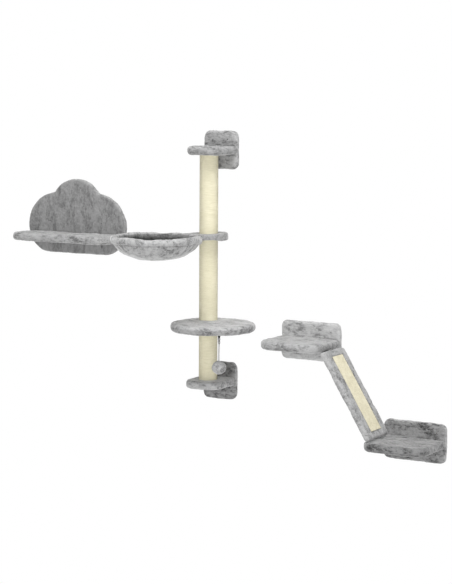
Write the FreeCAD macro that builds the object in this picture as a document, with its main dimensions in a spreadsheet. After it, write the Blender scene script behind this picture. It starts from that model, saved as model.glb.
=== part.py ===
import FreeCAD, Part
import os
from FreeCAD import Placement, Rotation, Vector

# A wall-mounted climbing set for cats, in three units that are screwed to one wall:
# a lounge with a three-lobed back, a sisal post held between two brackets with a round
# platform and a hammock clamped into it, and two shelves joined by a hinged ramp.
# Frame: millimetres, X to the right, +Y into the wall, Z up. The wall is the plane Y = 0
# and the origin is the middle of the back of the post's lower wall board.

SIZES = (
    # boards, plush and fits that every unit shares
    ("board_thickness", 16.0), ("plush", 12.0), ("plush_round", 7.0), ("fit_gap", 0.3),
    ("wall_hole_radius", 3.0), ("wall_hole_in_plush_radius", 4.5), ("wall_corner", 18.0),
    ("joining_screw_radius", 2.2), ("joining_screw_length", 62.0),
    ("joining_head_radius", 4.4), ("joining_head_depth", 3.0), ("pilot_gap", 0.1),
    # post brackets
    ("post_wall_width", 160.0), ("post_wall_height", 160.0), ("bracket_spacing", 1116.0),
    ("bracket_reach", 217.0), ("bracket_corner", 51.0),
    ("post_hole_across", 40.0), ("post_hole_up", 50.0), ("bracket_screw_across", 50.0),
    # post
    ("post_from_wall", 129.0), ("tube_radius", 40.0), ("tube_wall", 4.0), ("sisal_rope", 5.0),
    ("wrap_fit", 0.1),
    ("plug_thickness", 22.0), ("stud_radius", 4.0), ("stud_clearance", 0.2),
    ("washer_radius", 12.0), ("washer_thickness", 1.6),
    ("bolt_head_radius", 6.5), ("bolt_head_height", 5.3), ("bolt_access_radius", 14.0),
    # round platform
    ("platform_height", 290.0), ("platform_radius", 190.0),
    ("platform_offset", 115.0), ("platform_angle", 42.0),
    # hammock
    ("hammock_height", 709.0), ("hammock_reach", 310.0), ("hammock_angle", 21.0),
    ("neck_radius", 81.0), ("neck_bridge_width", 116.0),
    ("ring_outer_radius", 208.0), ("ring_width", 20.0), ("hem", 8.0), ("hem_round", 7.0),
    ("bag_depth", 83.0), ("bag_wall", 9.0), ("bag_shoulder_radius", 138.0),
    ("bag_shoulder_depth", 59.0),
    # hanging toy
    ("toy_across", 157.0), ("toy_out", 163.0), ("toy_drop", 179.0), ("ball_radius", 33.0),
    ("cord_radius", 1.8), ("cord_in_ball", 14.0), ("hook_flange_radius", 9.5),
    ("hook_flange_thickness", 2.7), ("hook_stem_top_radius", 8.0), ("hook_stem_radius", 4.0),
    ("hook_stem_length", 17.0), ("hook_stem_in_eye", 0.6),
    ("hook_shank_radius", 2.4), ("hook_shank_in_board", 12.0),
    ("eye_radius", 5.0), ("eye_wire", 1.6), ("link_radius", 5.0), ("link_wire", 1.2),
    ("loop_radius", 4.5), ("loop_wire", 1.4),
    # lounge
    ("lounge_x", -844.0), ("seat_height", 660.0), ("seat_width", 554.0), ("seat_reach", 188.0),
    ("seat_corner", 40.0), ("lobe_above_seat", 46.0), ("lobe_radius", 160.0),
    ("crown_above_seat", 130.0), ("crown_radius", 148.0), ("back_below_seat", 75.0),
    ("back_bottom_corner", 104.0), ("back_notch_round", 20.0), ("lounge_hole_across", 158.0),
    ("lounge_hole_above_seat", 73.0), ("lounge_hole_rows", 118.0),
    ("seat_screw_outer", 220.0), ("seat_screw_inner", 73.0),
    # shelves
    ("shelf_wall_width", 288.0), ("shelf_wall_height", 160.0), ("shelf_reach", 268.0),
    ("shelf_corner", 50.0), ("upper_shelf_x", 497.0), ("upper_shelf_z", 229.0),
    ("lower_shelf_x", 1039.0), ("lower_shelf_z", -192.0),
    ("shelf_hole_across", 110.0), ("shelf_hole_up", 50.0), ("shelf_screw_across", 100.0),
    # ramp and its hinge
    ("ramp_angle", 58.0), ("ramp_width", 187.0), ("ramp_board_thickness", 12.0),
    ("ramp_plush", 9.0), ("ramp_from_wall", 155.0), ("ramp_end_gap", 4.0),
    ("ramp_rest_gap", 0.3), ("ramp_pad_width", 101.0), ("ramp_pad_margin", 34.0),
    ("ramp_pad_thickness", 4.0), ("ramp_pad_inset", 2.5), ("ramp_pad_corner", 4.0),
    ("hinge_pin_radius", 3.0), ("hinge_pin_gap", 0.05), ("hinge_knuckle_radius", 5.5),
    ("hinge_leaf_thickness", 2.3), ("hinge_leaf_length", 97.0), ("hinge_width", 66.0),
    ("hinge_knuckle_gap", 0.4), ("hinge_past_edge", 7.5),
    ("hinge_screw_radius", 2.0), ("hinge_screw_length", 22.0), ("hinge_screw_head_radius", 4.0),
    ("hinge_screw_head_height", 2.0), ("hinge_screw_first", 29.0), ("hinge_screw_pitch", 26.0),
)

doc = FreeCAD.newDocument("climbing_set")
sheet = doc.addObject("Spreadsheet::Sheet", "Sizes")
for row, (alias, value) in enumerate(SIZES, start=1):
    sheet.set("A%d" % row, alias)
    sheet.set("B%d" % row, str(value))
    sheet.setAlias("B%d" % row, alias)
doc.recompute()

nodes = []


def size(alias):
    return float(sheet.get(alias))


def bind(obj, **settings):
    for prop, formula in settings.items():
        obj.setExpression(prop, formula)
    return obj


def place(obj, x, y, z):
    for letter, formula in (("x", x), ("y", y), ("z", z)):
        obj.setExpression("Placement.Base." + letter, formula)
    return obj


def block(name, x, y, z, length, width, height):
    box = doc.addObject("Part::Box", name)
    bind(box, Length=length, Width=width, Height=height)
    return place(box, x, y, z)


def rod(name, radius, length, x, y, z, along="Z"):
    cylinder = doc.addObject("Part::Cylinder", name)
    turns = {"Z": Rotation(), "Y": Rotation(Vector(1, 0, 0), -90), "X": Rotation(Vector(0, 1, 0), 90)}
    cylinder.Placement = Placement(Vector(), turns[along])
    bind(cylinder, Radius=radius, Height=length)
    return place(cylinder, x, y, z)


def hoop(name, radius, wire, x, y, z, axis="Z"):
    torus = doc.addObject("Part::Torus", name)
    turns = {"Z": Rotation(), "Y": Rotation(Vector(1, 0, 0), 90), "X": Rotation(Vector(0, 1, 0), 90)}
    torus.Placement = Placement(Vector(), turns[axis])
    bind(torus, Radius1=radius, Radius2=wire)
    return place(torus, x, y, z)


def fuse(name, *pieces):
    joined = doc.addObject("Part::MultiFuse", name)
    joined.Shapes = list(pieces)
    joined.Refine = True
    return joined


def cut(name, base, *tools):
    removed = doc.addObject("Part::Cut", name)
    removed.Base = base
    removed.Tool = tools[0] if len(tools) == 1 else fuse(name + "_tools", *tools)
    return removed


def group(name, *pieces):
    together = doc.addObject("Part::Compound", name)
    together.Links = list(pieces)
    return together


def node(obj, label):
    obj.Label = label
    nodes.append(obj)
    return obj


def rounded(name, base, radius, test):
    """Round the edges of base that pass the test."""
    doc.recompute()
    filleted = doc.addObject("Part::Fillet", name)
    filleted.Base = base
    edges = base.Shape.Edges
    picked = [number for number, edge in enumerate(edges, start=1) if test(edge)]
    filleted.Edges = [(number, radius, radius) for number in picked]
    return filleted


def runs_along(axis):
    def test(edge):
        direction = edge.tangentAt(edge.FirstParameter)
        return abs(abs(direction.dot(axis)) - 1) < 1e-6
    return test


def on_plane(axis, *levels):
    def test(edge):
        box = edge.BoundBox
        low = Vector(box.XMin, box.YMin, box.ZMin).dot(axis)
        high = Vector(box.XMax, box.YMax, box.ZMax).dot(axis)
        return any(abs(low - level) < 1e-3 and abs(high - level) < 1e-3 for level in levels)
    return test


ALONG_Y = Vector(0, 1, 0)
ALONG_Z = Vector(0, 0, 1)
BOARD = "Sizes.board_thickness"
PLUSH = "Sizes.plush"
GAP = "Sizes.fit_gap"
HALF_COVER = "(Sizes.board_thickness / 2 + Sizes.plush)"


def wall_holes(name, radius, x, z, across, up):
    holes = []
    for side in (-1, 1):
        for level in (-1, 1):
            label = "%s_hole_%d_%d" % (name, side + 1, level + 1)
            holes.append(rod(label, radius, "3 * (%s + %s)" % (BOARD, PLUSH),
                             "%s + %d * %s" % (x, side, across), "-2 * (%s + %s)" % (BOARD, PLUSH),
                             "%s + %d * %s" % (z, level, up), "Y"))
    return holes


def joining_screw(name, x, z):
    """A countersunk screw from the wall side, through the wall board, into the shelf's edge."""
    shank = rod(name + "_shank", "Sizes.joining_screw_radius", "Sizes.joining_screw_length - %s" % GAP,
                x, "-Sizes.joining_screw_length", z, "Y")
    head = doc.addObject("Part::Cone", name + "_head")
    head.Placement = Placement(Vector(), Rotation(Vector(1, 0, 0), -90))
    bind(head, Radius1="Sizes.joining_screw_radius", Radius2="Sizes.joining_head_radius",
         Height="Sizes.joining_head_depth")
    place(head, x, "-Sizes.joining_head_depth - %s" % GAP, z)
    return fuse(name, shank, head)


def joining_screw_room(name, x, z):
    shank = rod(name + "_shank", "Sizes.joining_screw_radius + Sizes.pilot_gap",
                "Sizes.joining_screw_length + 2 * %s" % GAP, x,
                "-Sizes.joining_screw_length - %s" % GAP, z, "Y")
    head = doc.addObject("Part::Cone", name + "_head")
    head.Placement = Placement(Vector(), Rotation(Vector(1, 0, 0), -90))
    bind(head, Radius1="Sizes.joining_screw_radius + 2 * Sizes.pilot_gap",
         Radius2="Sizes.joining_head_radius + 2 * Sizes.pilot_gap",
         Height="Sizes.joining_head_depth + %s" % GAP)
    place(head, x, "-Sizes.joining_head_depth - %s" % GAP, z)
    return fuse(name, shank, head)


def shelf_board(name, label, x, z, width, reach, corner, extra_holes, screw_rooms):
    """A board that stands out of the wall, with two rounded front corners."""
    plain = block(name + "_blank", "%s - %s / 2" % (x, width), "-%s" % reach,
                  "%s - %s / 2" % (z, BOARD), width, "%s - %s" % (reach, BOARD), BOARD)
    doc.recompute()
    front = -plain.Width.Value - size("board_thickness")

    def front_corner(edge):
        return runs_along(ALONG_Z)(edge) and abs(edge.BoundBox.YMin - front) < 1e-3

    shaped = rounded(name + "_rounded", plain, size(corner), front_corner)
    return node(cut(name, shaped, *screw_rooms, *extra_holes), label)


def shelf_cover(name, label, x, z, width, reach, corner, extra_holes):
    """Plush round the board's top, underside, sides and front, open at the wall board."""
    wall_face = "(%s + %s + %s)" % (BOARD, PLUSH, GAP)
    outer = block(name + "_outer", "%s - %s / 2 - %s" % (x, width, PLUSH), "-%s - %s" % (reach, PLUSH),
                  "%s - %s" % (z, HALF_COVER), "%s + 2 * %s" % (width, PLUSH),
                  "%s + %s - %s" % (reach, PLUSH, wall_face), "2 * %s" % HALF_COVER)
    doc.recompute()
    front = outer.Placement.Base.y

    def front_corner(edge):
        return runs_along(ALONG_Z)(edge) and abs(edge.BoundBox.YMin - front) < 1e-3

    cornered = rounded(name + "_cornered", outer, size(corner) + size("plush"), front_corner)
    doc.recompute()
    low = outer.Placement.Base.z
    high = low + outer.Height.Value
    back = front + outer.Width.Value

    def pile_edge(edge):
        level = on_plane(ALONG_Z, low, high)(edge)
        return level and not on_plane(ALONG_Y, back)(edge)

    soft = rounded(name + "_soft", cornered, size("plush_round"), pile_edge)
    room = block(name + "_room", "%s - %s / 2 - %s" % (x, width, GAP), "-%s - %s" % (reach, GAP),
                 "%s - %s / 2 - %s" % (z, BOARD, GAP), "%s + 2 * %s" % (width, GAP),
                 "%s + %s" % (reach, GAP), "%s + 2 * %s" % (BOARD, GAP))
    doc.recompute()
    room_front = room.Placement.Base.y

    def room_corner(edge):
        return runs_along(ALONG_Z)(edge) and abs(edge.BoundBox.YMin - room_front) < 1e-3

    room_shaped = rounded(name + "_room_rounded", room, size(corner) + size("fit_gap"), room_corner)
    return node(cut(name, soft, room_shaped, *extra_holes), label)


def wall_board(name, label, x, z, width, height, holes, screw_rooms):
    plain = block(name + "_blank", "%s - %s / 2" % (x, width), "-" + BOARD,
                  "%s - %s / 2" % (z, height), width, BOARD, height)
    shaped = rounded(name + "_rounded", plain, size("wall_corner"), runs_along(ALONG_Y))
    return node(cut(name, shaped, *holes, *screw_rooms), label)


def wall_cover(name, label, x, z, width, height, shelf_width, holes):
    """Plush over the wall board's front and edges; its back stays bare against the wall."""
    outer = block(name + "_outer", "%s - %s / 2 - %s" % (x, width, PLUSH), "-%s - %s" % (BOARD, PLUSH),
                  "%s - %s / 2 - %s" % (z, height, PLUSH), "%s + 2 * %s" % (width, PLUSH),
                  "%s + %s" % (BOARD, PLUSH), "%s + 2 * %s" % (height, PLUSH))
    cornered = rounded(name + "_cornered", outer, size("wall_corner") + size("plush"),
                       runs_along(ALONG_Y))
    doc.recompute()
    soft = rounded(name + "_soft", cornered, size("plush_round"),
                   on_plane(ALONG_Y, outer.Placement.Base.y))
    room = block(name + "_room", "%s - %s / 2 - %s" % (x, width, GAP), "-%s - %s" % (BOARD, GAP),
                 "%s - %s / 2 - %s" % (z, height, GAP), "%s + 2 * %s" % (width, GAP),
                 "%s + 2 * %s" % (BOARD, GAP), "%s + 2 * %s" % (height, GAP))
    room_shaped = rounded(name + "_room_rounded", room, size("wall_corner") + size("fit_gap"),
                          runs_along(ALONG_Y))
    slot = block(name + "_slot", "%s - %s / 2 - %s" % (x, shelf_width, GAP),
                 "-2 * (%s + %s)" % (BOARD, PLUSH), "%s - %s / 2 - %s" % (z, BOARD, GAP),
                 "%s + 2 * %s" % (shelf_width, GAP), "2 * (%s + %s)" % (BOARD, PLUSH),
                 "%s + 2 * %s" % (BOARD, GAP))
    return node(cut(name, soft, room_shaped, slot, *holes), label)


POST_Y = "-Sizes.post_from_wall"
UNDER = "(Sizes.board_thickness / 2)"
SISAL_RADIUS = "(Sizes.tube_radius + Sizes.sisal_rope)"
STUD_HOLE = "Sizes.stud_radius + Sizes.stud_clearance"


def post_bracket(prefix, z, tube_side):
    """One wall bracket of the post; tube_side is +1 where the tube stands on the board."""
    holes = wall_holes(prefix + "_wall_board", "Sizes.wall_hole_radius", "0", z,
                       "Sizes.post_hole_across", "Sizes.post_hole_up")
    plush_holes = wall_holes(prefix + "_wall_cover", "Sizes.wall_hole_in_plush_radius", "0", z,
                             "Sizes.post_hole_across", "Sizes.post_hole_up")
    screws = []
    for side in (-1, 1):
        screws.append(("%s_%d" % (prefix, side + 1), "%d * Sizes.bracket_screw_across" % side))
    wall_board(prefix + "_wall_board", prefix + "_wall_board", "0", z, "Sizes.post_wall_width",
               "Sizes.post_wall_height", holes,
               [joining_screw_room(tag + "_wall_room", x, z) for tag, x in screws])
    wall_cover(prefix + "_wall_cover", prefix + "_wall_cover", "0", z, "Sizes.post_wall_width",
               "Sizes.post_wall_height", "Sizes.post_wall_width", plush_holes)
    bolt_hole = rod(prefix + "_bolt_hole", STUD_HOLE, "4 * " + BOARD, "0", POST_Y,
                    "%s - 2 * %s" % (z, BOARD))
    shelf_board(prefix + "_bracket_board", prefix + "_bracket_board", "0", z,
                "Sizes.post_wall_width", "Sizes.bracket_reach", "bracket_corner", [bolt_hole],
                [joining_screw_room(tag + "_board_room", x, z) for tag, x in screws])
    tube_room = rod(prefix + "_tube_room", "%s + %s" % (SISAL_RADIUS, GAP), "2 * " + HALF_COVER,
                    "0", POST_Y, z if tube_side > 0 else "%s - 2 * %s" % (z, HALF_COVER))
    access = rod(prefix + "_access", "Sizes.bolt_access_radius", "2 * " + HALF_COVER, "0", POST_Y,
                 z if tube_side < 0 else "%s - 2 * %s" % (z, HALF_COVER))
    shelf_cover(prefix + "_bracket_cover", prefix + "_bracket_cover", "0", z,
                "Sizes.post_wall_width", "Sizes.bracket_reach", "bracket_corner",
                [tube_room, access])
    return [joining_screw(tag + "_screw", x, z) for tag, x in screws]


# Post brackets: the same bracket twice, the upper one turned over so both bolts face out.
bracket_screws = post_bracket("lower", "0", 1)
bracket_screws += post_bracket("upper", "Sizes.bracket_spacing", -1)
node(group("bracket_joining_screws", *bracket_screws), "bracket_joining_screws")

# Post: three cardboard tubes between the boards, each with its own sisal wrap and two plugs.
LEVELS = (("lower", "0", "Sizes.platform_height"),
          ("middle", "Sizes.platform_height", "Sizes.hammock_height"),
          ("upper", "Sizes.hammock_height", "Sizes.bracket_spacing"))
plugs = []
for level, low, high in LEVELS:
    start = "(%s + %s)" % (low, UNDER)
    length = "(%s - %s - %s)" % (high, low, BOARD)
    tube_outer = rod(level + "_tube_outer", "Sizes.tube_radius", length, "0", POST_Y, start)
    tube_bore = rod(level + "_tube_bore", "Sizes.tube_radius - Sizes.tube_wall", length,
                    "0", POST_Y, start)
    node(cut(level + "_post_tube", tube_outer, tube_bore), level + "_post_tube")
    wrap_outer = rod(level + "_wrap_outer", SISAL_RADIUS, "%s - 2 * %s" % (length, GAP), "0", POST_Y,
                     "%s + %s" % (start, GAP))
    wrap_bore = rod(level + "_wrap_bore", "Sizes.tube_radius + Sizes.wrap_fit", length,
                    "0", POST_Y, start)
    node(cut(level + "_sisal_wrap", wrap_outer, wrap_bore), level + "_sisal_wrap")
    for end, at in (("foot", start), ("head", "%s + %s - Sizes.plug_thickness" % (start, length))):
        tag = "%s_%s_plug" % (level, end)
        disc = rod(tag + "_disc", "Sizes.tube_radius - Sizes.tube_wall - %s / 2" % GAP,
                   "Sizes.plug_thickness", "0", POST_Y, at)
        thread = rod(tag + "_thread", "Sizes.stud_radius + Sizes.pilot_gap", "3 * Sizes.plug_thickness",
                     "0", POST_Y, "%s - Sizes.plug_thickness" % at)
        plugs.append(cut(tag, disc, thread))
node(group("post_end_plugs", *plugs), "post_end_plugs")

studs = []
for tag, level in (("platform_stud", "Sizes.platform_height"), ("hammock_stud", "Sizes.hammock_height")):
    studs.append(rod(tag, "Sizes.stud_radius", "%s + 2 * Sizes.plug_thickness" % BOARD, "0", POST_Y,
                     "%s - %s - Sizes.plug_thickness" % (level, UNDER)))
node(group("post_studs", *studs), "post_studs")

bolts = []
washers = []
SHANK = "(%s + Sizes.washer_thickness + Sizes.plug_thickness)" % BOARD
SEAT = "(%s + Sizes.washer_thickness)" % UNDER
for tag, z, way in (("foot", "0", 1), ("head", "Sizes.bracket_spacing", -1)):
    under = "%s - %s" % (z, SEAT) if way > 0 else "%s + %s" % (z, SEAT)
    shank = rod(tag + "_bolt_shank", "Sizes.stud_radius", SHANK, "0", POST_Y,
                under if way > 0 else "%s - %s" % (under, SHANK))
    head = doc.addObject("Part::Prism", tag + "_bolt_head")
    head.Polygon = 6
    bind(head, Circumradius="Sizes.bolt_head_radius", Height="Sizes.bolt_head_height")
    place(head, "0", POST_Y, "%s - Sizes.bolt_head_height" % under if way > 0 else under)
    bolts.append(fuse(tag + "_bolt", shank, head))
    disc = rod(tag + "_washer_disc", "Sizes.washer_radius", "Sizes.washer_thickness", "0", POST_Y,
               under if way > 0 else "%s - Sizes.washer_thickness" % under)
    hole = rod(tag + "_washer_hole", STUD_HOLE, "3 * Sizes.washer_thickness", "0", POST_Y,
               "%s - 2 * Sizes.washer_thickness" % under)
    washers.append(cut(tag + "_washer", disc, hole))
node(group("post_bolts", *bolts), "post_bolts")
node(group("post_washers", *washers), "post_washers")

# Round platform, off centre on the post.
PLATFORM_X = "(Sizes.platform_offset * sin(Sizes.platform_angle))"
PLATFORM_Y = "(%s - Sizes.platform_offset * cos(Sizes.platform_angle))" % POST_Y
TOY_X = "Sizes.toy_across"
TOY_Y = "(%s - Sizes.toy_out)" % POST_Y
PLATFORM_Z = "Sizes.platform_height"
disc = rod("platform_disc", "Sizes.platform_radius", BOARD, PLATFORM_X, PLATFORM_Y,
           "%s - %s" % (PLATFORM_Z, UNDER))
stud_hole = rod("platform_stud_hole", STUD_HOLE, "3 * " + BOARD, "0", POST_Y,
                "%s - 1.5 * %s" % (PLATFORM_Z, BOARD))
hook_hole = rod("platform_hook_hole", "Sizes.hook_shank_radius + Sizes.pilot_gap",
                "%s + Sizes.hook_shank_in_board + %s" % (BOARD, GAP), TOY_X, TOY_Y,
                "%s - %s - %s" % (PLATFORM_Z, UNDER, BOARD))
node(cut("platform_board", disc, stud_hole, hook_hole), "platform_board")
outer = rod("platform_cover_outer", "Sizes.platform_radius + %s" % PLUSH, "2 * " + HALF_COVER,
            PLATFORM_X, PLATFORM_Y, "%s - %s" % (PLATFORM_Z, HALF_COVER))
doc.recompute()
cover_low = outer.Placement.Base.z
soft = rounded("platform_cover_soft", outer, size("plush_round"),
               on_plane(ALONG_Z, cover_low, cover_low + outer.Height.Value))
room = rod("platform_cover_room", "Sizes.platform_radius + %s" % GAP, "%s + 2 * %s" % (BOARD, GAP),
           PLATFORM_X, PLATFORM_Y, "%s - %s - %s" % (PLATFORM_Z, UNDER, GAP))
post_room = rod("platform_post_room", "%s + %s" % (SISAL_RADIUS, GAP), "4 * " + HALF_COVER, "0", POST_Y,
                "%s - 2 * %s" % (PLATFORM_Z, HALF_COVER))
hook_room = rod("platform_hook_room", "Sizes.hook_shank_radius + %s" % GAP, "2 * " + PLUSH, TOY_X, TOY_Y,
                "%s - %s - 2 * %s" % (PLATFORM_Z, UNDER, PLUSH))
node(cut("platform_cover", soft, room, post_room, hook_room), "platform_cover")

# Hammock: a flat frame with a neck that the post clamps, a plush neck, a hemmed ring and a bag.
RING_X = "(-Sizes.hammock_reach * sin(Sizes.hammock_angle))"
RING_Y = "(%s - Sizes.hammock_reach * cos(Sizes.hammock_angle))" % POST_Y
HAMMOCK_Z = "Sizes.hammock_height"
RING_INNER = "(Sizes.ring_outer_radius - Sizes.ring_width)"


def bridge(name, width, height):
    """A bar from the post's axis to the middle of the ring."""
    bar = doc.addObject("Part::Box", name)
    turn = Rotation(ALONG_Z, -90 - size("hammock_angle"))
    bar.Placement = Placement(Vector(), turn)
    bind(bar, Length="Sizes.hammock_reach", Width=width, Height=height)
    return place(bar, "-%s / 2 * cos(Sizes.hammock_angle)" % width,
                 "%s + %s / 2 * sin(Sizes.hammock_angle)" % (POST_Y, width),
                 "%s - %s / 2" % (HAMMOCK_Z, height))


def disc_at(name, radius, height, x, y):
    return rod(name, radius, height, x, y, "%s - %s / 2" % (HAMMOCK_Z, height))


frame = fuse("hammock_frame_plan", disc_at("frame_neck", "Sizes.neck_radius", BOARD, "0", POST_Y),
             disc_at("frame_ring", "Sizes.ring_outer_radius", BOARD, RING_X, RING_Y),
             bridge("frame_bridge", "Sizes.neck_bridge_width", BOARD))
node(cut("hammock_frame_board", frame, disc_at("frame_opening", RING_INNER, "3 * " + BOARD, RING_X, RING_Y),
         disc_at("frame_stud_hole", STUD_HOLE, "3 * " + BOARD, "0", POST_Y)), "hammock_frame_board")

COVER_HEIGHT = "(2 * %s)" % HALF_COVER
ROOM_HEIGHT = "(%s + 2 * %s)" % (BOARD, GAP)
HEM_OUTER = "(Sizes.ring_outer_radius + Sizes.hem)"
neck_plan = fuse("neck_cover_plan",
                 disc_at("neck_cover_disc", "Sizes.neck_radius + %s" % PLUSH, COVER_HEIGHT, "0", POST_Y),
                 bridge("neck_cover_bridge", "(Sizes.neck_bridge_width + 2 * %s)" % PLUSH, COVER_HEIGHT))
neck_middle = size("hammock_height")
half_neck = size("board_thickness") / 2 + size("plush")
neck_plush = rounded("neck_cover_soft", neck_plan, size("plush_round"),
                     on_plane(ALONG_Z, neck_middle - half_neck, neck_middle + half_neck))
node(cut("hammock_neck_cover", neck_plush,
         disc_at("neck_ring_room", "%s + %s" % (HEM_OUTER, GAP), "2 * " + COVER_HEIGHT, RING_X, RING_Y),
         disc_at("neck_post_room", "%s + %s" % (SISAL_RADIUS, GAP), "2 * " + COVER_HEIGHT, "0", POST_Y),
         disc_at("neck_disc_room", "Sizes.neck_radius + %s" % GAP, ROOM_HEIGHT, "0", POST_Y),
         bridge("neck_bridge_room", "(Sizes.neck_bridge_width + 2 * %s)" % GAP, ROOM_HEIGHT)),
     "hammock_neck_cover")

HEM_HEIGHT = "(%s + 2 * Sizes.hem)" % BOARD
hem_tube = cut("hem_tube", disc_at("hem_outer", HEM_OUTER, HEM_HEIGHT, RING_X, RING_Y),
               disc_at("hem_inner", "%s - Sizes.hem" % RING_INNER, "2 * " + HEM_HEIGHT, RING_X, RING_Y))
hem_top = size("hammock_height") + size("board_thickness") / 2 + size("hem")
hem_low = size("hammock_height") - size("board_thickness") / 2 - size("hem")
hem_soft = rounded("hem_soft", hem_tube, size("hem_round"), on_plane(ALONG_Z, hem_low, hem_top))
TALL_ROOM = "2 * " + ROOM_HEIGHT
hem_room = cut("hem_room",
               disc_at("hem_room_outer", "Sizes.ring_outer_radius + %s" % GAP, ROOM_HEIGHT, RING_X, RING_Y),
               disc_at("hem_room_inner", "%s - %s" % (RING_INNER, GAP), TALL_ROOM, RING_X, RING_Y))
hem_bridge = cut("hem_bridge",
                 bridge("hem_bridge_bar", "(Sizes.neck_bridge_width + 2 * %s)" % GAP, ROOM_HEIGHT),
                 disc_at("hem_bridge_stop", "%s + %s" % (RING_INNER, GAP), TALL_ROOM, RING_X, RING_Y))
node(cut("hammock_hem", hem_soft, hem_room, hem_bridge), "hammock_hem")

bag_body = doc.addObject("PartDesign::Body", "hammock_bag")
bag_sketch = bag_body.newObject("Sketcher::SketchObject", "bag_profile")
upright = [plane for plane in bag_body.Origin.OriginFeatures if plane.Role == "XZ_Plane"][0]
bag_sketch.AttachmentSupport = [(upright, "")]
bag_sketch.MapMode = "FlatFace"


# Where the bag's side bulges most, as shares of its way in and down, and the share of the
# wall that its shoulder is drawn in by on the inside.
BULGE_IN = 0.45
BULGE_DOWN = 0.52
SHOULDER_SHARE = 0.7


def bowl(radius, shoulder_radius, shoulder_depth, depth):
    """Points on one side of a bowl, from its rim to its middle, with a point inside each arc."""
    rim = Vector(radius, 0, 0)
    side = Vector(radius - BULGE_IN * (radius - shoulder_radius), -BULGE_DOWN * shoulder_depth, 0)
    shoulder = Vector(shoulder_radius, -shoulder_depth, 0)
    sag = depth - shoulder_depth
    sphere = (shoulder_radius ** 2 + sag ** 2) / (2 * sag)
    halfway = shoulder_radius / 2
    belly = Vector(halfway, sphere - depth - (sphere ** 2 - halfway ** 2) ** 0.5, 0)
    return rim, side, shoulder, belly, Vector(0, -depth, 0)


outer_radius = size("ring_outer_radius") + size("hem")
wall = size("bag_wall")
outside = bowl(outer_radius, size("bag_shoulder_radius"), size("bag_shoulder_depth"), size("bag_depth"))
inside = bowl(outer_radius - wall, size("bag_shoulder_radius") - SHOULDER_SHARE * wall,
              size("bag_shoulder_depth") - SHOULDER_SHARE * wall, size("bag_depth") - wall)
for points in (outside, inside):
    rim, side, shoulder, belly, middle = points
    bag_sketch.addGeometry(Part.Arc(rim, side, shoulder), False)
    bag_sketch.addGeometry(Part.Arc(shoulder, belly, middle), False)
bag_sketch.addGeometry(Part.LineSegment(outside[0], inside[0]), False)
bag_sketch.addGeometry(Part.LineSegment(outside[4], inside[4]), False)
bag_turn = bag_body.newObject("PartDesign::Revolution", "bag_turn")
bag_turn.Profile = bag_sketch
bag_turn.ReferenceAxis = (bag_sketch, ["V_Axis"])
bag_turn.Angle = 360
place(bag_body, RING_X, RING_Y, "%s - %s / 2 - %s" % (HAMMOCK_Z, HEM_HEIGHT, GAP))
node(bag_body, "hammock_bag")

# Hanging toy: a screw hook under the platform, a ring through its eye, a cord and a plush ball.
UNDERSIDE = "(%s - %s)" % (PLATFORM_Z, HALF_COVER)
FLANGE_LOW = "(%s - %s - Sizes.hook_flange_thickness)" % (UNDERSIDE, GAP)
STEM_LOW = "(%s - Sizes.hook_stem_length)" % FLANGE_LOW
EYE_Z = "(%s - Sizes.eye_radius)" % STEM_LOW
EYE_FOOT = "(%s - Sizes.eye_radius)" % EYE_Z
LINK_Z = "(%s + Sizes.eye_wire + Sizes.link_wire + %s - Sizes.link_radius)" % (EYE_FOOT, GAP)
LINK_FOOT = "(%s - Sizes.link_radius)" % LINK_Z
LOOP_Z = "(%s + Sizes.link_wire + Sizes.loop_wire + %s - Sizes.loop_radius)" % (LINK_FOOT, GAP)
LOOP_FOOT = "(%s - Sizes.loop_radius)" % LOOP_Z
BALL_Z = "(%s - Sizes.toy_drop)" % PLATFORM_Z
BALL_TOP = "(%s + Sizes.ball_radius)" % BALL_Z
SHANK_TOP = "(%s - %s + Sizes.hook_shank_in_board)" % (PLATFORM_Z, UNDER)
hook_shank = rod("hook_shank", "Sizes.hook_shank_radius", "%s - %s" % (SHANK_TOP, FLANGE_LOW),
                 TOY_X, TOY_Y, FLANGE_LOW)
hook_flange = rod("hook_flange", "Sizes.hook_flange_radius", "Sizes.hook_flange_thickness",
                  TOY_X, TOY_Y, FLANGE_LOW)
hook_stem = doc.addObject("Part::Cone", "hook_stem")
bind(hook_stem, Radius1="Sizes.hook_stem_radius", Radius2="Sizes.hook_stem_top_radius",
     Height="Sizes.hook_stem_length + Sizes.hook_stem_in_eye")
place(hook_stem, TOY_X, TOY_Y, "%s - Sizes.hook_stem_in_eye" % STEM_LOW)
hook_eye = hoop("hook_eye", "Sizes.eye_radius", "Sizes.eye_wire", TOY_X, TOY_Y, EYE_Z, "Y")
node(fuse("toy_hook", hook_shank, hook_flange, hook_stem, hook_eye), "toy_hook")
node(hoop("toy_ring", "Sizes.link_radius", "Sizes.link_wire", TOY_X, TOY_Y, LINK_Z, "X"), "toy_ring")
cord_loop = hoop("cord_loop", "Sizes.loop_radius", "Sizes.loop_wire", TOY_X, TOY_Y, LOOP_Z, "Y")
cord_run = rod("cord_run", "Sizes.cord_radius", "%s - %s + Sizes.cord_in_ball" % (LOOP_FOOT, BALL_TOP),
               TOY_X, TOY_Y, "%s - Sizes.cord_in_ball" % BALL_TOP)
node(fuse("toy_cord", cord_loop, cord_run), "toy_cord")
ball = doc.addObject("Part::Sphere", "ball_blank")
bind(ball, Radius="Sizes.ball_radius")
place(ball, TOY_X, TOY_Y, BALL_Z)
ball_hole = rod("ball_hole", "Sizes.cord_radius + %s" % GAP, "2 * Sizes.ball_radius",
                TOY_X, TOY_Y, "%s - Sizes.cord_in_ball - %s" % (BALL_TOP, GAP))
node(cut("toy_ball", ball, ball_hole), "toy_ball")

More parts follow.
